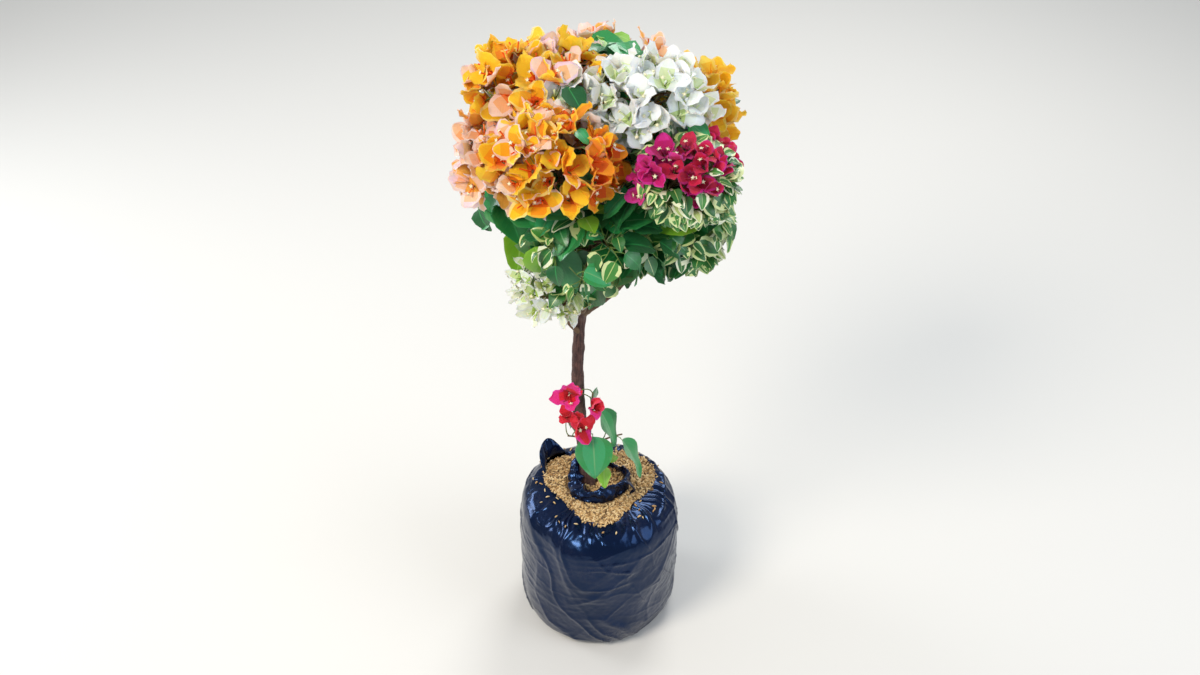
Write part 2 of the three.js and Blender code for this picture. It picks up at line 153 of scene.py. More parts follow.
# a triangle from each step of a row of vertices to one pole
def fanTo(row, pole):
    rest = np.broadcast_to([pole, -1], (len(row) - 1, 2))
    return np.column_stack([row[:-1], row[1:], rest])


# a shape's faces for each of its copies
def repeatFaces(faces, copies, vertices):
    moved = faces + vertices * np.arange(copies)[:, None, None]
    return np.where(faces < 0, -1, moved).reshape(-1, 4)


# rings of vertices closed round, with a pole at the foot and the tip
def ringFaces(rows, columns):
    foot, tip = rows * columns, rows * columns + 1
    table = np.pad(np.arange(foot).reshape(rows, columns), ((0, 0), (0, 1)), mode="wrap")
    return np.concatenate([quadsOver(table), fanTo(table[0, ::-1], foot), fanTo(table[-1], tip)])


# a grid of rings, each pole at the middle of its end ring
def closedSkin(grid):
    poles = np.stack([grid[0].mean(axis=0), grid[-1].mean(axis=0)])
    points = np.concatenate([grid.reshape(-1, 3), poles])
    return {"points": points, "faces": ringFaces(*grid.shape[:2]), "slots": 0}


# a grid that closes on itself both ways
def loopedSkin(grid):
    table = np.pad(np.arange(grid.size // 3).reshape(grid.shape[:2]), (0, 1), mode="wrap")
    return {"points": grid.reshape(-1, 3), "faces": quadsOver(table), "slots": 0}


# round tubes along many curves: point = curve + radius (cos a normal + sin a binormal)
def tubes(curves, radii, sides, slots=0):
    count, steps = curves.shape[:2]
    radii = np.broadcast_to(radii, (count, steps))
    tangents = unit(np.gradient(curves, axis=1))
    spare = np.eye(3)[np.argmin(np.abs(curves[:, -1] - curves[:, 0]), axis=1)]
    normals = unit(np.cross(spare[:, None], tangents))
    binormals = np.cross(tangents, normals)
    angle = evenAngles(sides)[:, None]
    around = turned(normals[:, :, None], binormals[:, :, None], angle)
    rings = curves[:, :, None] + radii[:, :, None, None] * around
    points = np.concatenate([rings.reshape(count, -1, 3), curves[:, :1], curves[:, -1:]], axis=1)
    faces = ringFaces(steps, sides)
    return {
        "points": points.reshape(-1, 3),
        "faces": repeatFaces(faces, count, steps * sides + 2),
        "slots": np.repeat(np.broadcast_to(slots, count), len(faces)),
    }


# Joins parts to one mesh that rides on the plant and stands for the CAD nodes named. An edge is
# shaded as a sharp one where both its ends lie on a blade's rim.
def addPiece(name, parts, materials, nodes):
    starts = np.cumsum([0] + [len(part["points"]) for part in parts])
    points = np.concatenate([part["points"] for part in parts]) * millimetre
    faces = [np.where(part["faces"] < 0, -1, part["faces"] + n) for part, n in zip(parts, starts)]
    slots = [np.broadcast_to(part["slots"], len(part["faces"])) for part in parts]
    faces, slots = np.concatenate(faces), np.concatenate(slots)
    corners = faces[faces >= 0]
    sizes = (faces >= 0).sum(axis=1)
    mesh = bpy.data.meshes.new(name)
    mesh.vertices.add(len(points))
    mesh.loops.add(len(corners))
    mesh.polygons.add(len(faces))
    mesh.vertices.foreach_set("co", points.astype(np.float32).ravel())
    mesh.loops.foreach_set("vertex_index", corners.astype(np.int32))
    mesh.polygons.foreach_set("loop_start", (np.cumsum(sizes) - sizes).astype(np.int32))
    mesh.polygons.foreach_set("material_index", slots.astype(np.int32))
    mesh.polygons.foreach_set("use_smooth", np.ones(len(faces), bool))
    if "uv" in parts[0]:
        places = np.concatenate([part["uv"] for part in parts])
        mesh.uv_layers.new(name="blade").data.foreach_set("uv", places[corners].ravel())
    mesh.update(calc_edges=True)
    if "rim" in parts[0]:
        rim = np.concatenate([part["rim"] for part in parts])
        ends = np.empty(len(mesh.edges) * 2, np.int32)
        mesh.edges.foreach_get("vertices", ends)
        sharp = rim[ends].reshape(-1, 2).all(axis=1)
        mesh.attributes.new("sharp_edge", "BOOLEAN", "EDGE").data.foreach_set("value", sharp)
    for material in materials:
        mesh.materials.append(material)
    piece = bpy.data.objects.new(name, mesh)
    bpy.context.scene.collection.objects.link(piece)
    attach(piece, "root")
    if nodes:
        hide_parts(*nodes)
    print(f"{name}: {int((sizes - 2).sum())} triangles")


# sRGB to linear: c / 12.92 up to 0.04045, else ((c + 0.055) / 1.055)^2.4
def linear(colour):
    channels = np.array([colour >> 16 & 255, colour >> 8 & 255, colour & 255]) / 255
    bent = np.where(channels <= 0.04045, channels / 12.92, ((channels + 0.055) / 1.055) ** 2.4)
    return (*bent.tolist(), 1.0)


# sets each input to its value, or links it to the socket that feeds it
def fill(tree, node, inputs):
    for key, value in inputs.items():
        if isinstance(value, bpy.types.NodeSocket):
            tree.links.new(value, node.inputs[key])
        else:
            node.inputs[key].default_value = value


# a node with its settings, its inputs by name or in the order of its sockets; gives back an output
def addNode(tree, kind, inputs=(), output=0, **settings):
    made = tree.nodes.new("ShaderNode" + kind)
    for key, value in settings.items():
        setattr(made, key, value)
    fill(tree, made, inputs if isinstance(inputs, dict) else dict(enumerate(inputs)))
    return made.outputs[output]


# a material, its nodes and its shader, with plain values on the shader's own sockets
def newMaterial(name, colour, roughness, ior, **values):
    material = bpy.data.materials.new(name)
    material.use_nodes = True
    tree = material.node_tree
    shader = tree.nodes["Principled BSDF"]
    values = {key.replace("_", " "): value for key, value in values.items()}
    fill(tree, shader, {"Base Color": linear(colour), "Roughness": roughness, "IOR": ior} | values)
    return material, tree, shader


# Thin living tissue. Light comes a little way through it, veins stand out on it by the blade's own
# UV, u across and v along, and fine crinkles by its place in the plant.
def bladeMaterial(name, colour, style):
    dull = style["roughness"]
    material, tree, shader = newMaterial(
        name, colour, dull, style["ior"], Subsurface_Weight=style["glow"],
        Subsurface_Radius=(1.0, 0.6, 0.35), Subsurface_Scale=style["depth"] * millimetre,
        Sheen_Weight=style["sheen"], Coat_Weight=style["coat"], Coat_Roughness=0.27,
    )
    sheet = addNode(tree, "TexCoord", output="UV")
    centred = addNode(tree, "Math", (addNode(tree, "SeparateXYZ", [sheet]), 0.5), operation="SUBTRACT")
    apart = addNode(tree, "Math", [centred], operation="ABSOLUTE")
    slant = addNode(tree, "Math", (apart, style["slant"]), operation="MULTIPLY")
    rising = addNode(tree, "Math", (addNode(tree, "SeparateXYZ", [sheet], "Y"), slant), operation="SUBTRACT")
    turns = addNode(tree, "Math", (rising, 2 * np.pi * style["veins"]), operation="MULTIPLY")
    wave = addNode(tree, "Math", [turns], operation="SINE")
    sharp = addNode(tree, "MapRange", (wave, 0.55, 1, 0, 0.7))
    middle = addNode(tree, "MapRange", (apart, 0, 0.05, 1, 0))
    veins = addNode(tree, "Math", (sharp, middle), operation="MAXIMUM")
    places = addNode(tree, "TexCoord", output="Object")
    width = style["crinkle"] * millimetre
    crinkle = addNode(tree, "TexNoise", {"Vector": places, "Scale": 1 / width, "Detail": 3})
    height = addNode(tree, "Math", (crinkle, style["crinkled"], veins), operation="MULTIPLY_ADD")
    bump = addNode(
        tree, "Bump", {"Strength": style["relief"], "Distance": 0.4 * millimetre, "Height": height}
    )
    rough = addNode(tree, "MapRange", (crinkle, 0.3, 0.7, dull - 0.06, dull + 0.1))
    fill(tree, shader, {"Normal": bump, "Roughness": rough})
    return material


view = {
    "eye": (-10, -1576, 1881),  # the photograph's own height and slant, 1.9 m up and 1.6 m back
    "aim": (2, 5, 536),
    "lens": 44.5,
}
studio = {
    "key": {"at": (-1500, -1300, 2600), "size": 1100, "watts": 60, "colour": 0xFFF6EA},
    "fill": {"at": (1900, -900, 1500), "size": 1800, "watts": 22, "colour": 0xF0F5FF},
    "rim": {"at": (700, 1700, 2100), "size": 1300, "watts": 30, "colour": 0xFFFFFF},
    "side": {"at": (-2100, 800, 1050), "size": 900, "watts": 20, "colour": 0xF4F8FF},
    "sky": {"colour": 0xE6EEF8, "strength": 0.48},
    "floor": {"half": 25000, "colour": 0xDEDCD6},
}


# puts a camera or lamp at a place, looking towards another
def aimed(thing, at, towards):
    thing.location = Vector(at) * millimetre
    heading = (Vector(towards) - Vector(at)).normalized()
    thing.rotation_euler = heading.to_track_quat("-Z", "Y").to_euler()
    bpy.context.scene.collection.objects.link(thing)


# the camera, four soft lamps, an even sky and a plain floor
def makeStudio():
    camera = bpy.data.cameras.new("camera")
    camera.lens, camera.sensor_width = view["lens"], 36
    camera.clip_start, camera.clip_end = 0.05, 100
    seat = bpy.data.objects.new("camera", camera)
    aimed(seat, view["eye"], view["aim"])
    bpy.context.scene.camera = seat
    for name in ("key", "fill", "rim", "side"):
        facts = studio[name]
        lamp = bpy.data.lights.new(name, "AREA")
        lamp.shape, lamp.size, lamp.energy = "DISK", facts["size"] * millimetre, facts["watts"]
        lamp.color = linear(facts["colour"])[:3]
        aimed(bpy.data.objects.new(name, lamp), facts["at"], view["aim"])
    world = bpy.data.worlds.new("sky")
    world.use_nodes = True
    tree, sky = world.node_tree, studio["sky"]
    fill(tree, tree.nodes["Background"], {"Color": linear(sky["colour"]), "Strength": sky["strength"]})
    bpy.context.scene.world = world
    half = studio["floor"]["half"] * millimetre
    corners = [(-half, -half, 0), (half, -half, 0), (half, half, 0), (-half, half, 0)]
    mesh = bpy.data.meshes.new("floor")
    mesh.from_pydata(corners, [], [(0, 1, 2, 3)])
    mesh.materials.append(newMaterial("painted floor", studio["floor"]["colour"], 0.85, 1.5)[0])
    floor = bpy.data.objects.new("floor", mesh)
    bpy.context.scene.collection.objects.link(floor)
    bpy.context.scene.view_settings.view_transform = "Standard"
    print("studio made")


makeStudio()

bag = {
    "body": [(104, 0), (115, 8), (121, 40), (123, 110), (121, 180), (118, 216)],  # radius, height
    "shoulder": [(0.35, 232), (0.7, 239.5), (1, 242)],  # share of the way in to the mouth, height
    "lining": [(116, 190), (117, 110), (114, 40), (100, 6)],  # the hidden inner wall, under the husk
    "mouth": {"radius": 77, "shift": 10, "shiftTo": np.radians(80), "lobes": 12, "lobesAt": np.radians(30)},
    "square": {"share": 0.018, "from": 110, "turn": 0.9},
    "columns": 420,
    "underRows": 12,
    "step": 1.9,  # between rows up the wall
    "rounding": 11,  # the profile's corners are evened out over this many rows each way
    "film": 0.6,
    "lipRows": 9,
    "lipDepth": 8,  # how far the film's edge dips into the husk
    # a corner of film that stands up: half its width in radians, and how far it leans out
    "flap": {"at": np.radians(143), "half": 0.42, "height": 27, "slant": 0.45, "lean": 14},
    "slump": 3.4,
    "creased": 2.5,
    "pleated": 3.6,
}


# radius + shift cos(a - shiftTo) + lobes cos(3 (a - lobesAt))
def mouthRadius(angle):
    mouth = bag["mouth"]
    back = mouth["shift"] * np.cos(angle - mouth["shiftTo"])
    return mouth["radius"] + back + mouth["lobes"] * np.cos(3 * (angle - mouth["lobesAt"]))


# the body's radius times 1 + share cos(4a + turn), coming in with height
def bodyRadius(radius, height, angle):
    square = bag["square"]
    drawn = smoothstep(height, square["from"], bag["body"][-1][1])
    return radius * (1 + square["share"] * drawn * np.cos(4 * angle + square["turn"]))


# rows of (body radius, height, share of the way in to the mouth), evenly spaced and evened out
def bagProfile():
    topRadius = bag["body"][-1][0]
    knots = [(0, 0, 0), (96, 0, 0)] + [(r, z, 0) for r, z in bag["body"]]
    knots += [(topRadius, z, share) for share, z in bag["shoulder"]]
    knots = np.array(knots, float)
    reach = knots[:, 0] - knots[:, 2] * (topRadius - bag["mouth"]["radius"])
    lengths = np.concatenate([[0], np.cumsum(np.hypot(np.diff(reach), np.diff(knots[:, 1])))])
    under = bag["underRows"]
    rows = np.concatenate([np.linspace(4, 88, under), np.arange(90, lengths[-1], bag["step"]), lengths[-1:]])
    made = xyz(*(np.interp(rows, lengths, knots[:, k]) for k in range(3)))
    width = bag["rounding"]
    kernel = np.hanning(2 * width + 3)[1:-1]
    padded = np.pad(made[under:], ((width, width), (0, 0)), mode="reflect", reflect_type="odd")
    evened = xyz(*(np.convolve(padded[:, k], kernel / kernel.sum(), "valid") for k in range(3)))
    made[under:] = np.maximum(evened, 0)
    return made


# How far the film stands off its even form: a slow slump, level creases that crowd under the
# shoulder, slanting creases, and pleats that run in to the mouth
def filmRelief(points, angle, share):
    x, y, z = points[..., 0], points[..., 1], points[..., 2]
    warp = 9 * fractal(points / 60, 2, 3)
    level = xyz(x / 95, y / 95, (z + warp) / 17)
    slant = angle + z / 190 + 0.25 * fractal(points / 80, 2, 9)
    slanting = polar(2.1, slant, z / 240)
    crossing = polar(1.7, angle - z / 150, z / 200)
    pleats = polar(4.4, angle + 0.12 * fractal(points / 30, 2, 21), 0.5)
    crowded = 0.35 + 0.65 * smoothstep(z, 110, 200) + 0.5 * (1 - smoothstep(z, 10, 50))
    fading = smoothstep(fractal(points / 55, 2, 23), -0.5, 0.5)
    relief = bag["slump"] * fractal(points / 80, 2, 1)
    relief += bag["creased"] * crowded * (0.3 + fading) * (creases(level, 4, 5) - 0.3)
    relief += bag["creased"] * (1.2 - fading) * (creases(slanting, 9, 11) - 0.15)
    relief += bag["creased"] * 0.8 * fading * (creases(crossing, 12, 15) - 0.1)
    relief += bag["pleated"] * smoothstep(share, 0.02, 0.6) * (creases(pleats, 3, 17) - 0.4)
    relief += 0.3 * fractal(points / 6, 2, 19)
    return relief * smoothstep(z, 1, 14)


# across each face of the grid: around crossed with along
def filmNormals(grid):
    along = np.gradient(grid, axis=0)
    around = np.roll(grid, -1, axis=1) - np.roll(grid, 1, axis=1)
    return unit(np.cross(around, along))


# The bag is one closed skin: under, up the outside, over the shoulder, round the film's edge, and
# back down the inside. Its reach is body + share (mouth - body). The edge dips, or stands where the
# flap is: rise = -depth + (depth + height (1 - slant aside)) standing.
def bagSkin():
    angle, rows, flap, dip = evenAngles(bag["columns"]), bagProfile(), bag["flap"], bag["lipDepth"]
    radius, height, share = (rows[:, k, None] for k in range(3))
    body, mouth = bodyRadius(radius, height, angle), mouthRadius(angle)
    edge = mouth + 3.5 * fractal(polar(3, angle, 0), 2, 31)
    up = np.linspace(0.12, 1, bag["lipRows"])[:, None]
    aside = ((angle - flap["at"] + np.pi) % (2 * np.pi) - np.pi) / flap["half"]
    standing = smoothstep(1 - np.abs(aside), 0, 0.75)
    lipRise = -dip + (dip + flap["height"] * (1 - flap["slant"] * aside)) * standing
    lipReach = edge - 5 * up * (1 - standing) + flap["lean"] * standing * up**2
    reach = body + share * (mouth - body) + smoothstep(share, 0.6, 1) * (edge - mouth)
    reach = np.concatenate([reach, lipReach])
    height = np.concatenate([height + 0 * angle, bag["shoulder"][-1][1] + up * lipRise])
    even = polar(reach, angle, height)
    relief = filmRelief(even, angle, np.concatenate([share, 1 + 0 * up]))
    outside = even + filmNormals(even) * relief[..., None]
    outside[..., 2] = np.maximum(outside[..., 2], 0)
    bag["outside"] = outside[:len(rows)].reshape(-1, 3)
    inside = outside - filmNormals(outside) * bag["film"]
    returning = inside[np.argmax(rows[:, 1] > 200):][::-1]
    low = np.array(bag["lining"], float)
    return closedSkin(np.concatenate([outside, returning, polar(low[:, :1], angle, low[:, 1:])]))


# Blown LDPE film, black with a blue cast: smooth and glossy, so that every crease catches a hard
# bluish light, with dry dust settled low down and thinly over the rest. The noises are clouds of dust
# 45 mm wide, specks of 4 mm and crinkles of 7 mm.
def filmMaterial(name):
    material, tree, shader = newMaterial(
        name, 0x070A14, 0.24, 1.51, Specular_Tint=linear(0x649EF2), Specular_IOR_Level=0.72,
        Coat_Weight=0.08, Coat_Roughness=0.1,
    )
    places = addNode(tree, "TexCoord", output="Object")
    cloudy, specks, fine = (
        addNode(tree, "TexNoise", {"Vector": places, "Scale": scale, "Detail": detail})
        for scale, detail in ((22, 6), (260, 4), (140, 3))
    )
    low = addNode(tree, "MapRange", (addNode(tree, "SeparateXYZ", [places], "Z"), 0, 0.09, 0.24, 0.05))
    patch = addNode(tree, "MapRange", (cloudy, 0.45, 0.7, 0, 1))
    grain = addNode(tree, "MapRange", (specks, 0.42, 0.62, 0.2, 1))
    dusty = addNode(tree, "Math", (low, patch), operation="MULTIPLY")
    dust = addNode(tree, "Math", (dusty, grain), operation="MULTIPLY")
    blue = addNode(tree, "Mix", {0: cloudy, 6: linear(0x02040E), 7: linear(0x060C2A)}, 2, data_type="RGBA")
    colour = addNode(tree, "Mix", {0: dust, 6: blue, 7: linear(0x8C8578)}, 2, data_type="RGBA")
    rough = addNode(tree, "MapRange", (dust, 0, 0.5, 0.2, 0.6))
    bump = addNode(tree, "Bump", {"Strength": 0.25, "Distance": 0.8 * millimetre, "Height": fine})
    fill(tree, shader, {"Base Color": colour, "Roughness": rough, "Normal": bump})
    return material


addPiece("bagFilm", [bagSkin()], [filmMaterial("LDPE film")], ["grow_bag"])

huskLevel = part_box("husk_fill")[1].z / millimetre
sleeve = {
    "x": -2,
    "y": 6,
    "radius": 45,
    "height": 26,
    "sunk": 3,  # how far its foot stands in the husk
    "depth": 0.92,
    "wall": 0.8,
    "columns": 240,
    "rows": 30,
    "crumple": 4.6,
    "tuck": {"at": np.radians(215), "depth": 17},  # where the top is folded in towards the stem
    "loop": {"at": (39, -16, 254), "width": 13, "height": 15, "band": 8, "steps": 72, "sides": 10},
}


# radius (1 + 0.06 cos(3a + 0.5) + 0.03 cos 5a), height (1 + 0.2 cos(2a + 1.2) + 0.1 cos 5a), with
# the top bent in where it is tucked
def sleeveSkin():
    angle, tuck = evenAngles(sleeve["columns"]), sleeve["tuck"]
    up = np.linspace(0, 1, sleeve["rows"])[:, None]
    grow = 1 + 0.06 * np.cos(3 * angle + 0.5) + 0.03 * np.cos(5 * angle)
    tall = sleeve["height"] * (1 + 0.2 * np.cos(2 * angle + 1.2) + 0.1 * np.cos(5 * angle))
    bend = smoothstep(up, 0.55, 1) * smoothstep(np.cos(angle - tuck["at"]), -0.35, 0.7)
    reach = sleeve["radius"] + 1.5 * np.sin(np.pi * up) - 4 * up - tuck["depth"] * bend
    height = tall * (np.minimum(up, 0.75) / 0.75 * (1 - bend) + bend * (1 - 0.35 * smoothstep(up, 0.7, 1)))
    even = polar(reach * grow, angle, height) * [1, sleeve["depth"], 1]
    even = even + [sleeve["x"], sleeve["y"], huskLevel - sleeve["sunk"]]
    crumple = creases(even / [17, 17, 21], 4, 41) - 0.3 + 0.5 * fractal(even / 9, 2, 43)
    crumple = crumple * sleeve["crumple"] * smoothstep(up, 0, 0.3)
    outside = even + filmNormals(even) * crumple[..., None]
    inside = outside - filmNormals(outside) * sleeve["wall"]
    return loopedSkin(np.concatenate([outside, inside[::-1]]))


# a loose loop of the sleeve's film: a flat band carried round an ellipse that stands on edge
def sleeveLoop():
    loop = sleeve["loop"]
    turn, section = evenAngles(loop["steps"])[:, None], evenAngles(loop["sides"])
    out = xyz(np.cos(turn), 0, np.sin(turn))
    offset = (1.1 + 0.5 * np.sin(3 * turn + 1)) * np.cos(section)
    width = np.array([loop["width"], 1, loop["height"]]) * (1 + 0.07 * np.sin(4 * turn + 2))
    across = loop["band"] / 2 * np.sin(section) * (1 + 0.35 * np.sin(2 * turn + 0.6))
    points = np.array(loop["at"]) + width[:, None] * out + offset[..., None] * out
    points = points + across[..., None] * np.array([0.25, -1, 0.15])
    points = points + 0.9 * noise(points / 6, 47)[..., None] * out
    return loopedSkin(points[:, ::-1])


sleeveParts = [sleeveSkin(), sleeveLoop()]
addPiece("sleeveFilm", sleeveParts, [filmMaterial("LDPE film, crumpled")], ["foot_sleeve"])

trunk = {
    "foot": np.array([-15, 20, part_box("trunk")[0].z / millimetre]),
    "length": 377,
    "lean": -6,
    "bow": 12,
    "sway": 5,
    "footRadius": 10.5,
    "topRadius": 7.6,
    "flare": 6,
    "flareHeight": 17,
    "buttresses": 5,
    "columns": 84,
    "rows": 300,
    "fissure": 0.7,
    "scars": {"spacing": 31, "height": 1.3, "size": 5.5},
}
bough = {
    "footRadius": 4.6, "tipRadius": 3.1, "sides": 16, "steps": 90,
    "leave": (0.3, 0.22), "arrive": (0.12, 0.36),  # the bends at its ends, sideways and up
}
boughs = {
    "bough_front": (604, (-44, -50, 822)),  # height of the graft, and where its tip ends
    "bough_top": (611, (-56, 24, 858)),
    "bough_crown_right": (607, (40, 4, 858)),
    "bough_right": (590, (72, -50, 796)),
    "bough_back": (600, (12, 72, 832)),
    "bough_back_right": (582, (82, 46, 802)),
    "bough_back_left": (595, (-68, 76, 796)),
    "bough_left": (586, (-92, -8, 788)),
    "bough_low_front": (577, (-14, -32, 694)),
    "bough_low_right": (571, (56, 0, 686)),
    "bough_low_back": (565, (18, 58, 690)),
    "bough_low_left": (560, (-66, 38, 682)),
}


# foot + (lean s - bow sin(pi s), sway sin(2 pi s), height) for s, the share of the height
def trunkAxis(height):
    share = np.asarray(height, float) / trunk["length"]
    side = trunk["lean"] * share - trunk["bow"] * np.sin(np.pi * share)
    depth = trunk["sway"] * np.sin(2 * np.pi * share)
    return trunk["foot"] + xyz(side, depth, share * trunk["length"])


# a taper, a flare that fades by e^(-height / flareHeight) with buttresses in it, and swellings
def trunkRadius(height, angle):
    share = height / trunk["length"]
    flare = trunk["flare"] * np.exp(-height / trunk["flareHeight"])
    knots = 0.35 * (np.sin(share * 38) + 0.7 * np.sin(share * 91 + 2 * angle))
    taper = trunk["footRadius"] + (trunk["topRadius"] - trunk["footRadius"]) * share
    return taper + flare * (1 + 0.5 * np.cos(trunk["buttresses"] * angle)) + knots


# Bark relief: long shallow fissures, small level lenticels, and the scars of old side shoots, each
# a round swelling e^(-d^2) with a dimple in it
def barkRelief(height, angle):
    places = polar(9, angle, height)
    fissures = creases(places / [2.6, 2.6, 34], 6, 61) * trunk["fissure"]
    lenticels = smoothstep(noise(places / [2.1, 2.1, 0.9], 63), 0.62, 0.9) * 0.4
    grain = 0.28 * fractal(places / [1.6, 1.6, 11], 3, 65)
    relief = grain + lenticels - fissures
    scars = trunk["scars"]
    for n in range(int(trunk["length"] / scars["spacing"])):
        up = (n + 0.6 + 0.3 * scatter(3, n)) * scars["spacing"]
        side = (angle - goldenAngle * n + np.pi) % (2 * np.pi) - np.pi
        apart = ((height - up) ** 2 + (side * 9) ** 2) / scars["size"] ** 2
        relief = relief + scars["height"] * (np.exp(-apart) - 0.75 * np.exp(-apart * 7))
    return relief


# the trunk is a skin of rings round its axis, with a low domed cap at the graft
def trunkSkin():
    angle = evenAngles(trunk["columns"])
    height = np.linspace(0, trunk["length"], trunk["rows"])[:, None]
    radius = trunkRadius(height, angle) + barkRelief(height, angle)
    cap = np.linspace(0.15, 1, 8)[:, None] * np.pi / 2
    dome = radius[-1] * np.cos(cap) * (1 + 0.06 * np.sin(5 * angle))
    axis = trunkAxis(np.concatenate([height, trunk["length"] + 0 * cap])[:, 0])
    axis[len(height):, 2] += 4 * np.sin(cap[:, 0])
    return closedSkin(axis[:, None] + np.concatenate([radius, dome])[..., None] * polar(1, angle, 0))


# out sideways from the graft and up, then to the tip from below, in shares of the span
def boughCurve(graft, tip):
    start, end = trunkAxis(graft - trunk["foot"][2]), np.array(tip, float)
    span = size(end - start)
    outward = unit((end - start) * [1, 1, 0])
    near = start + outward * span * bough["leave"][0] + upwards * span * bough["leave"][1]
    far = end - outward * span * bough["arrive"][0] - upwards * span * bough["arrive"][1]
    return bezier([start, near, far, end], bough["steps"])


# a taper, a collar that fades by e^-(share / 0.11)^2 where the graft took, and a ring at each old leaf
def boughSkins():
    curves = np.stack([boughCurve(graft, tip) for graft, tip in boughs.values()])
    share = np.linspace(0, 1, bough["steps"])
    number = np.arange(len(curves))[:, None]
    taper = bough["footRadius"] + (bough["tipRadius"] - bough["footRadius"]) * share
    union = 2.7 * np.exp(-((share / 0.11) ** 2))
    rings = 0.5 * np.clip(np.sin(2 * np.pi * (share * 9 + scatter(7, number))), 0, 1) ** 6
    rough = 0.22 * noise(curves / [9, 9, 4], 71)
    skins = tubes(curves, taper + union + rings + rough, bough["sides"])
    skins["points"] = skins["points"] + 0.3 * noise(skins["points"] / [2.2, 2.2, 9], 73)[:, None]
    return skins, curves


# Bark of old wood: matt, warm grey-brown with a purple cast, paler in long streaks where it has
# weathered, with worn patches 26 mm wide and pale flecks 5 mm apart. Each layer lies over the last,
# and streak is the number of streaks to the metre.
def barkMaterial(name, dark, mid, pale, streak):
    material, tree, shader = newMaterial(name, mid, 0.78, 1.46)
    places = addNode(tree, "TexCoord", output="Object")
    tall, flat = (addNode(tree, "Mapping", {0: places, 3: (1, 1, squeeze)}) for squeeze in (0.16, 3.2))
    streaks = addNode(tree, "TexNoise", {"Vector": tall, "Scale": streak, "Detail": 8})
    patches = addNode(tree, "TexNoise", {"Vector": places, "Scale": 38, "Detail": 4})
    flecks = addNode(tree, "TexVoronoi", {"Vector": flat, "Scale": 210})
    colour = linear(dark)
    layers = [
        ((streaks, 0.36, 0.64, 0, 1), mid),
        ((patches, 0.5, 0.74, 0, 0.75), pale),
        ((flecks, 0.1, 0.2, 0.55, 0), pale),
    ]
    for shares, tint in layers:
        share = addNode(tree, "MapRange", shares)
        colour = addNode(tree, "Mix", {0: share, 6: colour, 7: linear(tint)}, 2, data_type="RGBA")
    bump = addNode(tree, "Bump", {"Strength": 0.5, "Distance": 0.5 * millimetre, "Height": streaks})
    rough = addNode(tree, "MapRange", (streaks, 0.3, 0.7, 0.68, 0.88))
    fill(tree, shader, {"Base Color": colour, "Normal": bump, "Roughness": rough})
    return material


oldBark = barkMaterial("old bougainvillea bark", 0x30201F, 0x62463F, 0x957B70, 420)
youngBark = barkMaterial("young bougainvillea bark", 0x402D22, 0x6A513E, 0x938267, 700)
addPiece("trunkBark", [trunkSkin()], [oldBark], ["trunk"])
boughSkin, boughCurves = boughSkins()
addPiece("boughBark", [boughSkin], [youngBark], list(boughs))
boughTips = dict(zip(boughs, boughCurves))

# sample points along trunk and boughs with their radii, for foliage to keep off
limbHeights = np.linspace(0, trunk["length"], 80)
boughPoints = boughCurves[:, ::3].reshape(-1, 3)
limbPoints = np.concatenate([trunkAxis(limbHeights), boughPoints])
limbRadii = np.concatenate([trunkRadius(limbHeights, 0), np.full(len(boughPoints), bough["footRadius"])])

husk = {
    "rings": 46,
    "columns": 200,
    "sunk": 1.2,  # the bed lies this far under the husk's level, and the grains make up the rest
    "mound": 3.2,
    "grains": 5200,
    "size": (7.4, 2.7, 1.8),  # length, width and thickness of one husk
    "strays": 46,  # grains that lie on the film outside the mouth
    "wall": [(98, 4), (108, 20), (113, 110), (110, 205), (103, 222)],  # radius, height inside the bag
}


# level + mounds of noise + a low heap round the sleeve
def bedHeight(x, y):
    ripples = fractal(xyz(x / 24, y / 24, 0), 3, 81)
    near = np.hypot(x - sleeve["x"], y - sleeve["y"])
    heap = np.exp(-(((near - sleeve["radius"]) / 16) ** 2))
    return huskLevel - husk["sunk"] + 1.5 * ripples + husk["mound"] * heap


# a bed across the mouth, on under the shoulder, and down inside the wall to the floor
def bedSkin():
    angle, wall = evenAngles(husk["columns"]), np.array(husk["wall"], float)
    reach = mouthRadius(angle) * np.linspace(1, 0.03, husk["rings"])[:, None]
    x, y = reach * np.cos(angle), reach * np.sin(angle)
    sides = polar(wall[:, :1], angle, wall[:, 1:])
    return closedSkin(np.concatenate([sides, xyz(x, y, bedHeight(x, y))]))


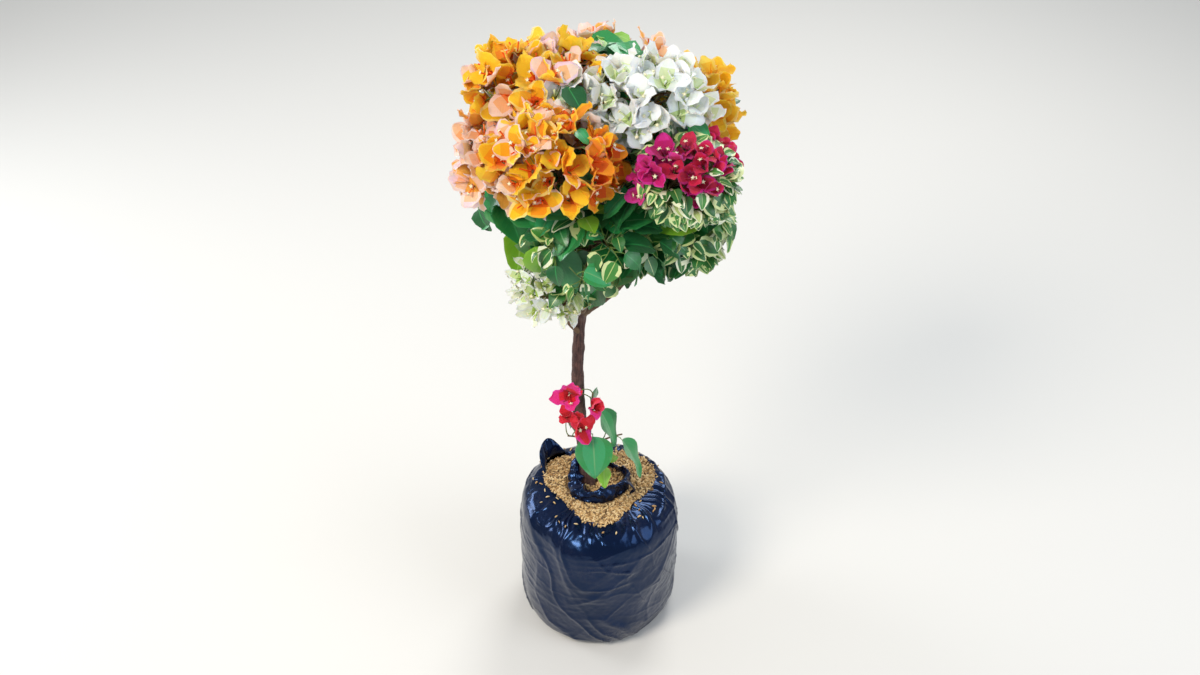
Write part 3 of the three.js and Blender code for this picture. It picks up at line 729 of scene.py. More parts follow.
# A husk is a ribbed boat of three square rings and two tips, bowed by 0.9 (length share)^2, then
# turned about the upright and tilted
def huskGrains():
    count, strays = husk["grains"], husk["strays"]
    angle = chance.uniform(0, 2 * np.pi, count)
    reach = np.sqrt(chance.uniform(0, 1, count)) * (mouthRadius(angle) + 1)
    mouth, wall = mouthRadius(angle[:strays]), bodyRadius(*bag["body"][-1], angle[:strays])
    reach[:strays] = mouth + chance.uniform(0.06, 0.6, strays) * (wall - mouth)
    x, y = reach * np.cos(angle), reach * np.sin(angle)
    z = bedHeight(x, y) + chance.uniform(0.2, 3.0, count)
    shoulder = bag["outside"][bag["outside"][:, 2] > bag["body"][-1][1]]
    apart = np.hypot(x[:strays, None] - shoulder[:, 0], y[:strays, None] - shoulder[:, 1])
    z[:strays] = shoulder[np.argmin(apart, axis=1), 2] + 1.3
    wallGap = np.abs(np.hypot(x - sleeve["x"], (y - sleeve["y"]) / sleeve["depth"]) - sleeve["radius"])
    stemGap = np.hypot(x - trunk["foot"][0], y - trunk["foot"][1])
    middles = xyz(x, y, z)[(wallGap > 4) & (stemGap > 15)]
    count = len(middles)
    halves = np.array(husk["size"]) / 2 * chance.uniform(0.82, 1.18, (count, 1))
    tilt, roll = chance.normal(0, 0.24, count), chance.normal(0, 0.5, count)[:, None]
    out = polar(np.cos(tilt), chance.uniform(0, 2 * np.pi, count), np.sin(tilt))
    level = unit(np.cross(upwards, out))
    side = turned(level, np.cross(out, level), roll)
    along, swell = np.array([[-0.62, 0, 0.62], [0.72, 1, 0.66]])[..., None]
    corner = evenAngles(4)
    shape = xyz(along, swell * np.cos(corner), swell * np.sin(corner) - 0.9 * along**2)
    shape = np.concatenate([shape.reshape(-1, 3), [[-1, 0, -0.8], [1, 0, -0.8]]])
    axes = np.stack([out, side, np.cross(out, side)], axis=1)
    points = middles[:, None] + (shape * halves[:, None]) @ axes
    faces = ringFaces(3, 4)
    dealt = np.repeat(chance.choice(5, count, p=[0.24, 0.3, 0.22, 0.16, 0.08]), len(faces))
    return {"points": points.reshape(-1, 3), "faces": repeatFaces(faces, count, 14), "slots": dealt}


# Rice husk: dry silica-rich bran, matt with a faint gleam and ribs 1 mm wide, straw to brown from
# grain to grain
def huskMaterial(name, colour):
    material, tree, shader = newMaterial(name, colour, 0.72, 1.48, Sheen_Weight=0.15)
    places = addNode(tree, "TexCoord", output="Object")
    ribs = addNode(tree, "TexNoise", {"Vector": places, "Scale": 900, "Detail": 2})
    bump = addNode(tree, "Bump", {"Strength": 0.35, "Distance": 0.2 * millimetre, "Height": ribs})
    rough = addNode(tree, "MapRange", (ribs, 0.3, 0.7, 0.6, 0.85))
    fill(tree, shader, {"Normal": bump, "Roughness": rough})
    return material


# husk that has begun to rot: dull, brown and crumbly, in clumps of 4 mm
def bedMaterial():
    material, tree, shader = newMaterial("rotted rice husk", 0x7A5C38, 0.92, 1.48)
    places = addNode(tree, "TexCoord", output="Object")
    clumps = addNode(tree, "TexNoise", {"Vector": places, "Scale": 240, "Detail": 5})
    colour = addNode(tree, "Mix", {0: clumps, 6: linear(0x4A3320), 7: linear(0xA98454)}, 2, data_type="RGBA")
    bump = addNode(tree, "Bump", {"Strength": 0.8, "Distance": 1.5 * millimetre, "Height": clumps})
    fill(tree, shader, {"Base Color": colour, "Normal": bump})
    return material


huskTints = {"pale": 0xDDC08C, "straw": 0xCCA970, "tan": 0xB98F56, "brown": 0x93703F, "dark": 0x6A4E2C}
addPiece("huskBed", [bedSkin()], [bedMaterial()], ["husk_fill"])
grainMaterials = [huskMaterial("rice husk, " + name, colour) for name, colour in huskTints.items()]
addPiece("huskGrains", [huskGrains()], grainMaterials, [])

leaf = {
    "rows": 6, "across": (-1, -0.6, -0.05, 0.05, 0.6, 1), "width": 0.8, "foot": 0.44, "tip": 0.9,
    "thickness": 0.45, "fold": 0.2, "ripple": 0.04, "waves": 1.6, "curl": -0.55, "bent": 0.3,
}
bract = {
    "rows": 7, "across": (-1, -0.66, 0, 0.66, 1), "width": 0.88, "foot": 0.42, "tip": 0.66,
    "thickness": 0.3, "fold": 0.12, "ripple": 0.095, "waves": 2.2, "curl": 0.25, "bent": 0.5,
}


# The faces of a blade's front and back, which share its edge and its two poles. The back's quads
# start from the same corner as the front's, so both are cut along one diagonal.
def bladeFaces(rows, columns):
    front = np.arange((rows - 1) * columns).reshape(rows - 1, columns)
    foot = front.size + (rows - 1) * (columns - 2)
    tip, back = foot + 1, front.copy()
    back[:, 1:-1] = np.arange(front.size, foot).reshape(rows - 1, -1)
    faces = [quadsOver(front), fanTo(front[0, ::-1], foot), fanTo(front[-1], tip)]
    faces += [quadsOver(back)[:, [0, 3, 2, 1]], fanTo(back[0], foot), fanTo(back[-1, ::-1], tip)]
    return np.concatenate(faces)


# how far along a blade its rows lie, closer at its ends: (1 - cos(pi n / rows)) / 2
def bladeRows(rows):
    return (1 - np.cos(np.pi * np.arange(rows + 1) / rows)) / 2


# where each face of a blade lies: u from foot to tip, and v from edge to edge
def facePlaces(style):
    edges = bladeRows(style["rows"])
    mids = (edges[1:] + edges[:-1]) / 2
    across = (np.array(style["across"][1:]) + style["across"][:-1]) / 2
    inner = xyz(mids[1:-1, None], across).reshape(-1, 2)
    side = [inner, xyz(mids[0], across[::-1]), xyz(mids[-1], across)]
    return np.concatenate(side + side)


# Many blades of one style. On each, u runs from foot to tip and v from edge to edge:
#   half width = width / 2 (u / p)^foot ((1 - u) / (1 - p))^tip, with p = foot / (foot + tip)
#   along = sin(curl u) / curl and lift = (1 - cos(curl u)) / curl, so that the midrib is an arc
#   lift has fold |x| + ripple v^2 sin(2 pi waves u + phase) more, and the back lies thickness below
def blades(style, feet, outs, ups, lengths, slots, curls, phases):
    count, rows, columns = len(feet), style["rows"], len(style["across"])
    sides = unit(np.cross(outs, ups))
    ups = np.cross(sides, outs)
    u, v = bladeRows(rows)[None, 1:-1, None], np.array(style["across"])[None, None]
    widest = style["foot"] / (style["foot"] + style["tip"])
    profile = (u / widest) ** style["foot"] * ((1 - u) / (1 - widest)) ** style["tip"]
    curl, phase = curls[:, None, None], phases[:, None, None]
    x = style["width"] / 2 * profile * v + 0 * curl
    along = np.sin(curl * u) / curl + 0 * v
    wave = style["ripple"] * v**2 * np.sin(2 * np.pi * style["waves"] * u + phase + 1.7 * np.sign(v))
    lift = (1 - np.cos(curl * u)) / curl + style["fold"] * np.abs(x) + wave
    front = xyz(x, along, lift) * lengths[:, None, None, None]
    back = front[:, :, 1:-1] - [0, 0, style["thickness"]]
    tip = xyz(0, np.sin(curls) / curls, (1 - np.cos(curls)) / curls) * lengths[:, None]
    local = np.concatenate(
        [front.reshape(count, -1, 3), back.reshape(count, -1, 3), 0 * tip[:, None], tip[:, None]], axis=1
    )
    axes = np.stack([sides, outs, ups], axis=1)
    points = feet[:, None] + local @ axes
    faces = bladeFaces(rows, columns)
    flatU, flatV = np.broadcast_arrays(u[0], v[0])
    across = (1 + flatV * profile[0]) / 2
    sheet = np.stack([across, flatU], axis=-1)
    places = np.concatenate([sheet.reshape(-1, 2), sheet[:, 1:-1].reshape(-1, 2), [[0.5, 0], [0.5, 1]]])
    rim = np.abs(np.concatenate([flatV.ravel(), 0 * flatV[:, 1:-1].ravel(), [1, 1]])) > 0.99
    return {
        "points": points.reshape(-1, 3),
        "faces": repeatFaces(faces, count, local.shape[1]),
        "slots": slots.reshape(-1),
        "uv": np.tile(places, (count, 1)),
        "rim": np.tile(rim, count),
    }


# the limb that each mass grows on, or the height on the trunk, then its centre, reach and main twigs
masses = {
    "orange_front": ("bough_front", (-54, -76, 886), (88, 76, 66), 14),
    "orange_top": ("bough_top", (-72, 26, 922), (94, 74, 66), 13),
    "white_top": ("bough_crown_right", (56, -4, 918), (86, 68, 62), 11),
    "magenta_right": ("bough_right", (100, -78, 860), (82, 72, 64), 13),
    "peach_back": ("bough_back", (18, 102, 896), (86, 72, 66), 13),
    "yellow_back": ("bough_back_right", (118, 64, 866), (76, 72, 66), 13),
    "white_back": ("bough_back_left", (-94, 108, 858), (76, 68, 64), 10),
    "peach_left": ("bough_left", (-126, -20, 848), (64, 66, 64), 14),
    "green_front": ("bough_low_front", (-6, -72, 760), (98, 78, 78), 10),
    "green_right": ("bough_low_right", (102, -20, 750), (84, 76, 78), 9),
    "green_back": ("bough_low_back", (40, 90, 756), (92, 76, 78), 9),
    "green_left": ("bough_low_left", (-98, 50, 748), (80, 76, 76), 9),
    "cream_sprig": (540, (-54, -38, 666), (66, 60, 56), 11),
    "red_sprig": (292, (-14, -38, 388), (62, 44, 100), 5),
}
twig = {
    "forks": (0.97, 0.72), "arch": 0.16, "uneven": 0.08, "heart": 0.22, "steps": 7, "mainSteps": 12,
    "stemSteps": 24, "collar": 2.4, "inset": (14, 15),  # how far inside its space a main and a fine twig ends
    "stem": (3.1, 2.6), "main": (1.7, 1.1), "fine": (0.95, 0.6), "petiole": (0.7, 0.5),
}
# How each kind of mass grows. Main twigs end at shell, a share of the reach, and finer ones fork off
# them, each down to a lowest cosine. Trios stand at least gap apart and leaves leafGap. leafAt is how
# far along its twig each leaf stands, spare the share of twigs without trios that still have leaves,
# and within how far twigs end inside the solids' box.
habits = {
    "bloom": {
        "shell": 0.72, "lowest": -0.35, "finer": 260, "finerLowest": -0.6, "gap": 18,
        "leafAt": (0.5, 0.96), "leafLength": (32, 58), "spare": 0.6, "within": 25, "leafGap": 10,
    },
    "leafy": {
        "shell": 0.58, "lowest": -0.75, "finer": 90, "finerLowest": -0.9, "gap": 0,
        "leafAt": (0.42, 0.7, 0.98), "leafLength": (42, 70), "spare": 1, "within": 10, "leafGap": 9,
    },
    "sprig": {
        "shell": 0.72, "lowest": -0.75, "finer": 70, "finerLowest": -0.85, "gap": 15,
        "leafAt": (0.4, 0.7, 0.98), "leafLength": (34, 58), "spare": 1, "within": 10, "leafGap": 9,
    },
}
# leaves alone show in the clearings, white trios stand in patches among the orange ones, and some
# masses have their trios in heads, with leaves between; each is a centre and a radius
clearings = [((30, 88, 944), 52), ((14, -30, 850), 26)]
whitePatches = [((-28, -16, 936), 30), ((4, -56, 914), 26)]
heads = {
    "cream_sprig": [((-88, -56, 668), 42), ((-40, -70, 636), 27), ((-50, -20, 700), 26)],
    "magenta_right": [
        ((52, -120, 880), 27), ((118, -104, 892), 32), ((76, -96, 900), 16), ((158, -50, 866), 24),
        ((128, -34, 896), 22),
    ],
}
# what differs from a mass's kind, mostly for more and smaller leaves
denser = {
    "magenta_right": {"finer": 420, "spare": 1, "leafGap": 8, "gap": 14},
    "green_right": {"finer": 190, "leafGap": 8},
    "cream_sprig": {"smallLeaf": (28, 46)},
}
# share of each mass's leaves that are the small cream-edged kind
variegated = {
    "magenta_right": 0.94, "green_right": 0.78, "green_front": 0.25, "cream_sprig": 1, "white_top": 0.3,
}

# The red shoot low on the stem, read off the photograph: bract trios as (centre, length), and
# leaves as (foot, tip, degrees turned about the midrib, row of hues, curl)
redShoot = {
    "bracts": [
        ((-41, -50, 480), 31), ((-9, -46, 447), 23), ((-46, -42, 428), 19), ((-28, -58, 421), 26),
        ((-41, -24, 459), 19), ((-34, -14, 402), 18),
    ],
    "leaves": [
        ((0, -40, 442), (30, -64, 398), -50, 3, -0.4), ((31, -40, 384), (68, -68, 342), -44, 4, -0.4),
        ((-9, -56, 408), (-5, -86, 350), 0, 5, -0.15), ((8, -52, 344), (6, -74, 320), 48, 6, -0.3),
        ((9, -46, 353), (26, -56, 361), 35, 6, 0.2), ((12, -8, 392), (30, 8, 360), 0, 1, -0.6),
        ((-34, -4, 396), (-52, 14, 366), 0, 0, -0.6), ((-12, 2, 426), (4, 26, 402), 0, 1, -0.5),
    ],
}
shootColumns = list(zip(*redShoot["leaves"]))


# how a mass grows: its kind's habit and what differs from it
def habitOf(name):
    kind = "leafy" if name.startswith("green") else "sprig" if name.endswith("sprig") else "bloom"
    return habits[kind] | denser.get(name, {})


crownBox = [np.array(list(corner)) / millimetre for corner in cadBounds]


# a mass's centre and reach
def spaceOf(name):
    return np.array(masses[name][1], float), np.array(masses[name][2], float)


# Each mass keeps to its own space: an ellipsoid, cut off halfway to each neighbour by their reach.
# A point outside is drawn in towards the centre until it is a margin inside.
def drawIn(name, points, margin):
    centre, reach = spaceOf(name)
    offset = points - centre
    share = 1 / np.maximum(size(offset / (reach - margin)), 1)
    for other in [one for one in masses if one != name]:
        otherCentre, otherReach = spaceOf(other)
        apart = size(otherCentre - centre)
        way = (otherCentre - centre) / apart
        mine, theirs = size(reach * way), size(otherReach * way)
        room = max(apart * mine / (mine + theirs) - margin / 2, 4)
        share = np.minimum(share, room / np.maximum(offset @ way, 1e-6))
    return centre + offset * np.minimum(share, 1)[:, None]


# Directions by the golden angle, the cosine to the growing direction falling evenly to lowest
def spiral(axes, count, lowest, turn):
    grows, across, along = axes
    share = (np.arange(count) + 0.5) / count
    cosine = (1 - share * (1 - lowest))[:, None]
    sine = np.sqrt(1 - cosine**2)
    angle = (goldenAngle * np.arange(count) + turn)[:, None]
    return share, grows * cosine + sine * turned(across, along, angle)


# Twigs to the tips, each from the place on the main twigs that is near and that it leaves forwards:
# the least distance + 45 (0.25 - cosine to the heading, if over nought) + 30 (if nearer than 9)
def forkTo(main, tips):
    sites = main[:, 4:].reshape(-1, 3)
    headings = unit(np.gradient(main, axis=1))[:, 4:].reshape(-1, 3)
    gaps = tips[:, None] - sites
    far = size(gaps)
    ahead = np.einsum("ijk,jk->ij", gaps / np.maximum(far, 1e-6)[..., None], headings)
    nearest = np.argmin(far + 45 * np.maximum(0.25 - ahead, 0) + 30 * (far < 9), axis=1)
    forks = sites[nearest]
    span = size(tips - forks)[:, None]
    bends = forks + unit(headings[nearest] + 0.3 * upwards) * span * 0.45
    return bezier([forks, bends, tips], twig["steps"])


# The source's rule: a stem from the limb to the mass's heart, and twigs that leave it by the golden
# angle and end near the edge. Finer twigs fork off these by the same rule, to ends nearer the edge.
def growMass(name, seed):
    limb, count, habit = masses[name][0], masses[name][3], habitOf(name)
    centre, reach = spaceOf(name)
    if isinstance(limb, str):
        start, before = boughTips[limb][[-1, -2]]
        heading = unit(start - before)
    else:
        start = trunkAxis(limb - trunk["foot"][2])
        heading = unit((centre - start) * [1, 1, 0.45])
    grows = unit(unit(centre - start) + 0.6 * upwards)
    across = unit(np.cross([0, 1, 0], grows))
    axes = grows, across, np.cross(grows, across)
    heart = centre + grows * reach[2] * twig["heart"]
    bend = start + heading * 0.5 * size(heart - start)
    stem = bezier([start, bend, heart], twig["stemSteps"])
    share, aims = spiral(axes, count, habit["lowest"], seed)
    length = habit["shell"] + twig["uneven"] * scatter(seed, np.arange(count))
    ends = drawIn(name, centre + reach * aims * length[:, None], twig["inset"][0])
    forks = pointsAt(stem, twig["forks"][0] - twig["forks"][1] * share)
    span = size(ends - forks)[:, None]
    bends = (forks + ends) / 2 + grows * twig["arch"] * span
    main = bezier([forks, bends, ends], twig["mainSteps"])
    if name == "red_sprig":
        tips = np.array([at for at, length in redShoot["bracts"]], float)
        aims = unit(tips - trunkAxis(tips[:, 2] - trunk["foot"][2]) + 12 * upwards)
    else:
        aims = spiral(axes, habit["finer"], habit["finerLowest"], seed + 1.1)[1]
        depth = 0.98 - 0.4 * scatter(seed + 11, np.arange(habit["finer"])) ** 1.8
        tips = centre + reach * aims * depth[:, None] + chance.normal(0, 3, aims.shape)
        low, high = crownBox[0] + habit["within"], crownBox[1] - habit["within"]
        tips = np.clip(drawIn(name, tips, twig["inset"][1]), low, high)
    return {
        "name": name, "seed": seed, "habit": habit, "stem": stem, "main": main, "aims": aims,
        "fine": forkTo(main, tips), "bears": np.zeros(len(tips), bool),
    }


grown = [growMass(name, number + 1) for number, name in enumerate(masses)]
print(f"{sum(len(g['fine']) for g in grown)} fine twigs in {len(grown)} masses")

# A bract has four zones, the throat, the body, its outer part and the rim. Each row is a colour's
# number for every zone, and each spray is dealt a row. Where x splits a mass, rows past the middle
# lie beyond it.
bractHues = {
    "orange": {
        "rows": "0123 0236 1233 0333 7455 0235 1336 7458 0012 0114 0123 0011 7014 0235 0112 1233",
        "colours": [0xE65A06, 0xF28708, 0xF7A50E, 0xFCBF1C, 0xF4AE7C, 0xF6CDB8, 0xFADC70, 0xEE7A34, 0xEBC2D2],
        "split": -22,
    },
    "peach": {
        "rows": "0123 4423 4135 4233 0442 4253",
        "colours": [0xE8762A, 0xF29A68, 0xF7B894, 0xF9D8C8, 0xF5A23C, 0xF0CCD6],
    },
    "yellow": {"rows": "3012 0112 0122 3001", "colours": [0xF0A010, 0xF8B41A, 0xFCD048, 0xE88208]},
    "white": {
        "rows": "0122 3122 0222 3012", "colours": [0xD8E6B0, 0xF0F4E8, 0xFAFBF8, 0xC2D88A], "glow": 0.5,
    },
    "magenta": {
        "rows": "0112 1122 0121 3444 0344 3341", "split": 96,
        "colours": [0x8C0844, 0xC00868, 0xD81C88, 0xA80632, 0xC60C3C],
    },
    "cream": {"rows": "3012 0122 3112", "colours": [0xC6D896, 0xE8EDD0, 0xF4F5EC, 0x9CBF5C]},
    "red": {"rows": "0122 0113 0121 0133", "colours": [0xA00818, 0xD00C24, 0xE41838, 0xDE1478]},
}
# papery bract: thin dry parchment, soft and matt, glowing where light comes through
papery = {
    "roughness": 0.6, "ior": 1.38, "glow": 0.45, "depth": 4.0, "sheen": 0.1, "slant": 1.1, "veins": 7.0,
    "crinkle": 3.0, "crinkled": 0.6, "relief": 0.45, "coat": 0.0,
}
# what differs from the usual bract: cream ones are narrow, and the few red ones have finer outlines
bractShapes = {
    "white": {"width": 0.9, "tip": 0.64, "ripple": 0.1},
    "cream": {"width": 0.6, "tip": 0.8, "bent": 0.3},
    "red": {"rows": 12, "across": (-1, -0.75, -0.5, -0.25, 0, 0.25, 0.5, 0.75, 1), "width": 0.92},
}
spray = {
    # how far open bracts stand, how far their feet are from the middle, how far sprays lean, and the
    # share of bracts with a row of their own
    "length": (25, 35), "open": (0.35, 0.95), "foot": 1.6, "lean": 0.34, "odd": 0.25,
    "scale": {"cream": 0.8, "white": 1.0, "magenta": 0.76},
}
flower = {"length": (12, 17), "radius": 1.0, "star": 3.6, "open": 0.55, "lobes": 5}


# a hue's rows as a table of colour numbers
def rowsOf(hue):
    return np.array([[int(number) for number in row] for row in hue["rows"].split()])


# keeps each point that lies at least gap from every one kept before it
def thinned(points, gap):
    kept = []
    for i, point in enumerate(points):
        if not kept or np.min(size(points[kept] - point)) >= gap:
            kept.append(i)
    return np.array(kept, int)


# true for each point in any of the balls
def inside(points, balls):
    return np.any([size(points - at) < radius for at, radius in balls], axis=0)


# the fine twigs of a mass that bear trios, none nearer another trio than the habit's gap
def choose(g, taken):
    tips = g["fine"][:, -1]
    order = chance.permutation(len(tips))
    shown = thinned(np.concatenate([taken, tips[order]]), g["habit"]["gap"])
    shown = order[shown[shown >= len(taken)] - len(taken)]
    shown = shown[~inside(tips[shown], clearings)]
    if g["name"] in heads:
        shown = shown[inside(tips[shown], heads[g["name"]])]
    return shown


# any two directions square to one another and to each facing
def squareTo(facings):
    first = unit(np.cross(facings, np.eye(3)[np.argmin(np.abs(facings), axis=1)]))
    return first, np.cross(facings, first)


# curls spread about the style's own, none quite straight
def curlsOf(style, count):
    curls = chance.normal(style["curl"], style["bent"], count)
    return np.where(np.abs(curls) < 0.05, 0.05, curls)


# Three bracts a third of a turn apart, which cup round the way the spray faces:
# out = cos(open) radial + sin(open) facing, and the inner face looks along
# cos(open) facing - sin(open) radial
def trios(centres, facings, lengths, hue, style):
    count = len(centres)
    first, second = squareTo(facings)
    roll = chance.uniform(0, 2 * np.pi, (count, 1)) + evenAngles(3)
    roll = (roll + chance.normal(0, 0.12, roll.shape))[..., None]
    radial = turned(first[:, None], second[:, None], roll)
    opened = chance.uniform(*spray["open"], (count, 1, 1)) + chance.normal(0, 0.14, (count, 3, 1))
    outs = turned(radial, facings[:, None], opened)
    ups = turned(facings[:, None], -radial, opened)
    feet = centres[:, None] + spray["foot"] * radial
    sizes = lengths[:, None] * chance.uniform(0.86, 1.1, (count, 3))
    u, v = facePlaces(style).T
    zone = np.where(u < 0.2, 0, np.where(u < 0.55, 1, 2))
    zone = np.where((np.abs(v) > 0.5) & (u > 0.25) | (u > 0.95), 3, zone)
    choices = len(rowsOf(hue))
    dealt = np.repeat(chance.integers(choices, size=(count, 1)), 3, axis=1)
    odd = chance.uniform(0, 1, dealt.shape) < spray["odd"]
    dealt = np.where(odd, chance.integers(choices, size=dealt.shape), dealt)
    if "split" in hue:
        beyond = centres[:, :1] + chance.normal(0, 8, (count, 1)) > hue["split"]
        dealt = dealt % (choices // 2) + beyond * (choices // 2)
    slots = rowsOf(hue)[dealt][..., zone].reshape(count * 3, -1)
    flat = [a.reshape(-1, 3) for a in (feet, outs, ups)]
    phases = chance.uniform(0, 2 * np.pi, count * 3)
    return blades(style, *flat, sizes.reshape(-1), slots, curlsOf(style, count * 3), phases), radial


# A flower on a bract: a waisted tube, and a cream star of five lobes where it is open
def flowers(feet, heads, lengths, tubeSlot):
    curves = feet[:, None] + heads[:, None] * (lengths[:, None] * np.array([0, 0.55, 1]))[..., None]
    opened = chance.uniform(0, 1, len(feet)) < flower["open"]
    tips, facing = curves[opened, -1], heads[opened]
    first, second = squareTo(facing)
    corners = 2 * flower["lobes"]
    reach = flower["star"] * np.tile([1, 0.45], flower["lobes"])[:, None]
    rim = tips[:, None] + reach * turned(first[:, None], second[:, None], evenAngles(corners)[:, None])
    rim = rim + facing[:, None] * (0.9 + 0.05 * reach)
    middle = tips[:, None] + facing[:, None] * np.array([0.1, 0.7])[:, None]
    stars = {
        "points": np.concatenate([rim, middle], axis=1).reshape(-1, 3),
        "faces": repeatFaces(ringFaces(1, corners), len(tips), corners + 2),
        "slots": tubeSlot + 1,
    }
    return [tubes(curves, flower["radius"] * np.array([1.1, 0.8, 1.15]), 5, tubeSlot), stars]


bloomPieces = {kind: [name for name in masses if name.startswith(kind)] for kind in bractHues}
# the trios placed so far, and for each kind of bract the masses and twigs that bear it
placed = np.zeros((0, 3))
batches = {kind: [] for kind in bloomPieces}
for kind, names in bloomPieces.items():
    for g in (g for g in grown if g["name"] in names):
        shown = choose(g, placed) if kind != "red" else np.arange(len(g["fine"]))
        tips = g["fine"][shown, -1]
        pale = inside(tips, whitePatches) & (kind == "orange")
        batches[kind].append((g, shown[~pale]))
        if pale.any():
            batches["white"].append((g, shown[pale]))
        placed = np.concatenate([placed, tips])
        g["bears"][shown] = True

flowerParts, flowerMaterials, flowerEnds = [], [], []
for kind, batch in batches.items():
    hue, parts = bractHues[kind], []
    for g, shown in batch:
        tips = g["fine"][:, -1]
        lengths = chance.uniform(*spray["length"], len(shown)) * spray["scale"].get(kind, 1)
        if kind == "red":
            lengths = np.array([length for at, length in redShoot["bracts"]], float)
        leans = chance.normal(0, spray["lean"], (len(shown), 3))
        facings = unit(0.85 * g["aims"][shown] + 0.5 * upwards + leans)
        made, radial = trios(tips[shown], facings, lengths, hue, bract | bractShapes.get(kind, {}))
        parts.append(made)
        for third in range(2):
            side = radial[:, third]
            leaning = unit(facings + 0.35 * side)
            flowerLengths = chance.uniform(*flower["length"], len(shown)) * lengths / 30
            flowerFeet = tips[shown] + side * 1.5
            flowerEnds.append(flowerFeet + leaning * flowerLengths[:, None])
            flowerParts += flowers(flowerFeet, leaning, flowerLengths, len(flowerMaterials))
    dried = papery | {"glow": hue.get("glow", papery["glow"])}
    materials = [bladeMaterial(f"{kind} bract {n + 1}", c, dried) for n, c in enumerate(hue["colours"])]
    flowerMaterials += [
        newMaterial(f"{kind} flower tube", hue["colours"][0], 0.6, 1.4)[0],
        newMaterial(f"{kind} flower star", 0xF4EFC8, 0.6, 1.4)[0],
    ]
    slotName = f"{kind}_bracts" if kind != "cream" else "cream_leaves"
    addPiece(kind + "Bracts", parts, materials, bloomPieces[kind])
addPiece("trueFlowers", flowerParts, flowerMaterials, [])
flowerEnds = np.concatenate(flowerEnds)

# A leaf has four zones: the middle and the margin of its upper face, its underside and its midrib. Colour 8,
# the blue-green 0x389A60 dealt to the upper middle of some leaves, is a painted sheen of sky reflected off
# the wax, not a green of the leaf's own.
leafHues = {
    "green": {
        "rows": "0042 1142 1055 2155 2255 7255 3366",
        "deal": [0.2, 0.24, 0.1, 0.14, 0.14, 0.12, 0.06],
        "colours": [0x12592A, 0x1B7436, 0x2A8C48, 0x78B22C, 0x468C5A, 0x62A36A, 0x97C25C, 0x389A60],
    },
    "variegated": {
        "rows": "0240 1245 0344 1541 1354 0045 5352",
        "deal": [0.24, 0.2, 0.12, 0.14, 0.08, 0.18, 0.04],
        "colours": [0x256B2C, 0x418636, 0xD2DE9C, 0xE9EDCB, 0x93B070, 0xB9CC7E],
    },
}
# leaf: waxy and glossy over a soft blade, with the veins sunk in it
waxy = {
    "roughness": 0.36, "ior": 1.45, "glow": 0.12, "depth": 1.5, "sheen": 0.06, "slant": 0.9, "veins": 6.0,
    "crinkle": 6.0, "crinkled": 0.3, "relief": 0.4, "coat": 0.4,
}
# the few leaves of the red shoot stand alone, so they have smoother outlines
shootLeaf = leaf | {
    "rows": 16, "across": (-1, -0.82, -0.6, -0.35, -0.045, 0.045, 0.35, 0.6, 0.82, 1), "width": 0.84,
    "tip": 0.95,
}
# leaf stalks, and the room that a leaf keeps to trios, flowers and limbs: small leaf, large leaf
petiole = {"short": (5, 9), "long": (10, 17), "trioGap": (10, 13), "flowerGap": (6, 8), "limbGap": 2}


# least way from each point to the surface of trunk or bough
def limbGap(points):
    return (size(points[..., None, :] - limbPoints) - limbRadii).min(axis=-1)


# 1 on the edge of the nearest mass's ellipsoid, and less inside it
def crownPlace(points):
    return np.min([size((points - at) / reach) for at, reach in map(spaceOf, masses)], axis=0)


# least way from each leaf's outline to any of the points
def outlineGap(outline, points):
    return size(outline[:, :, None] - points).min(axis=(1, 2))


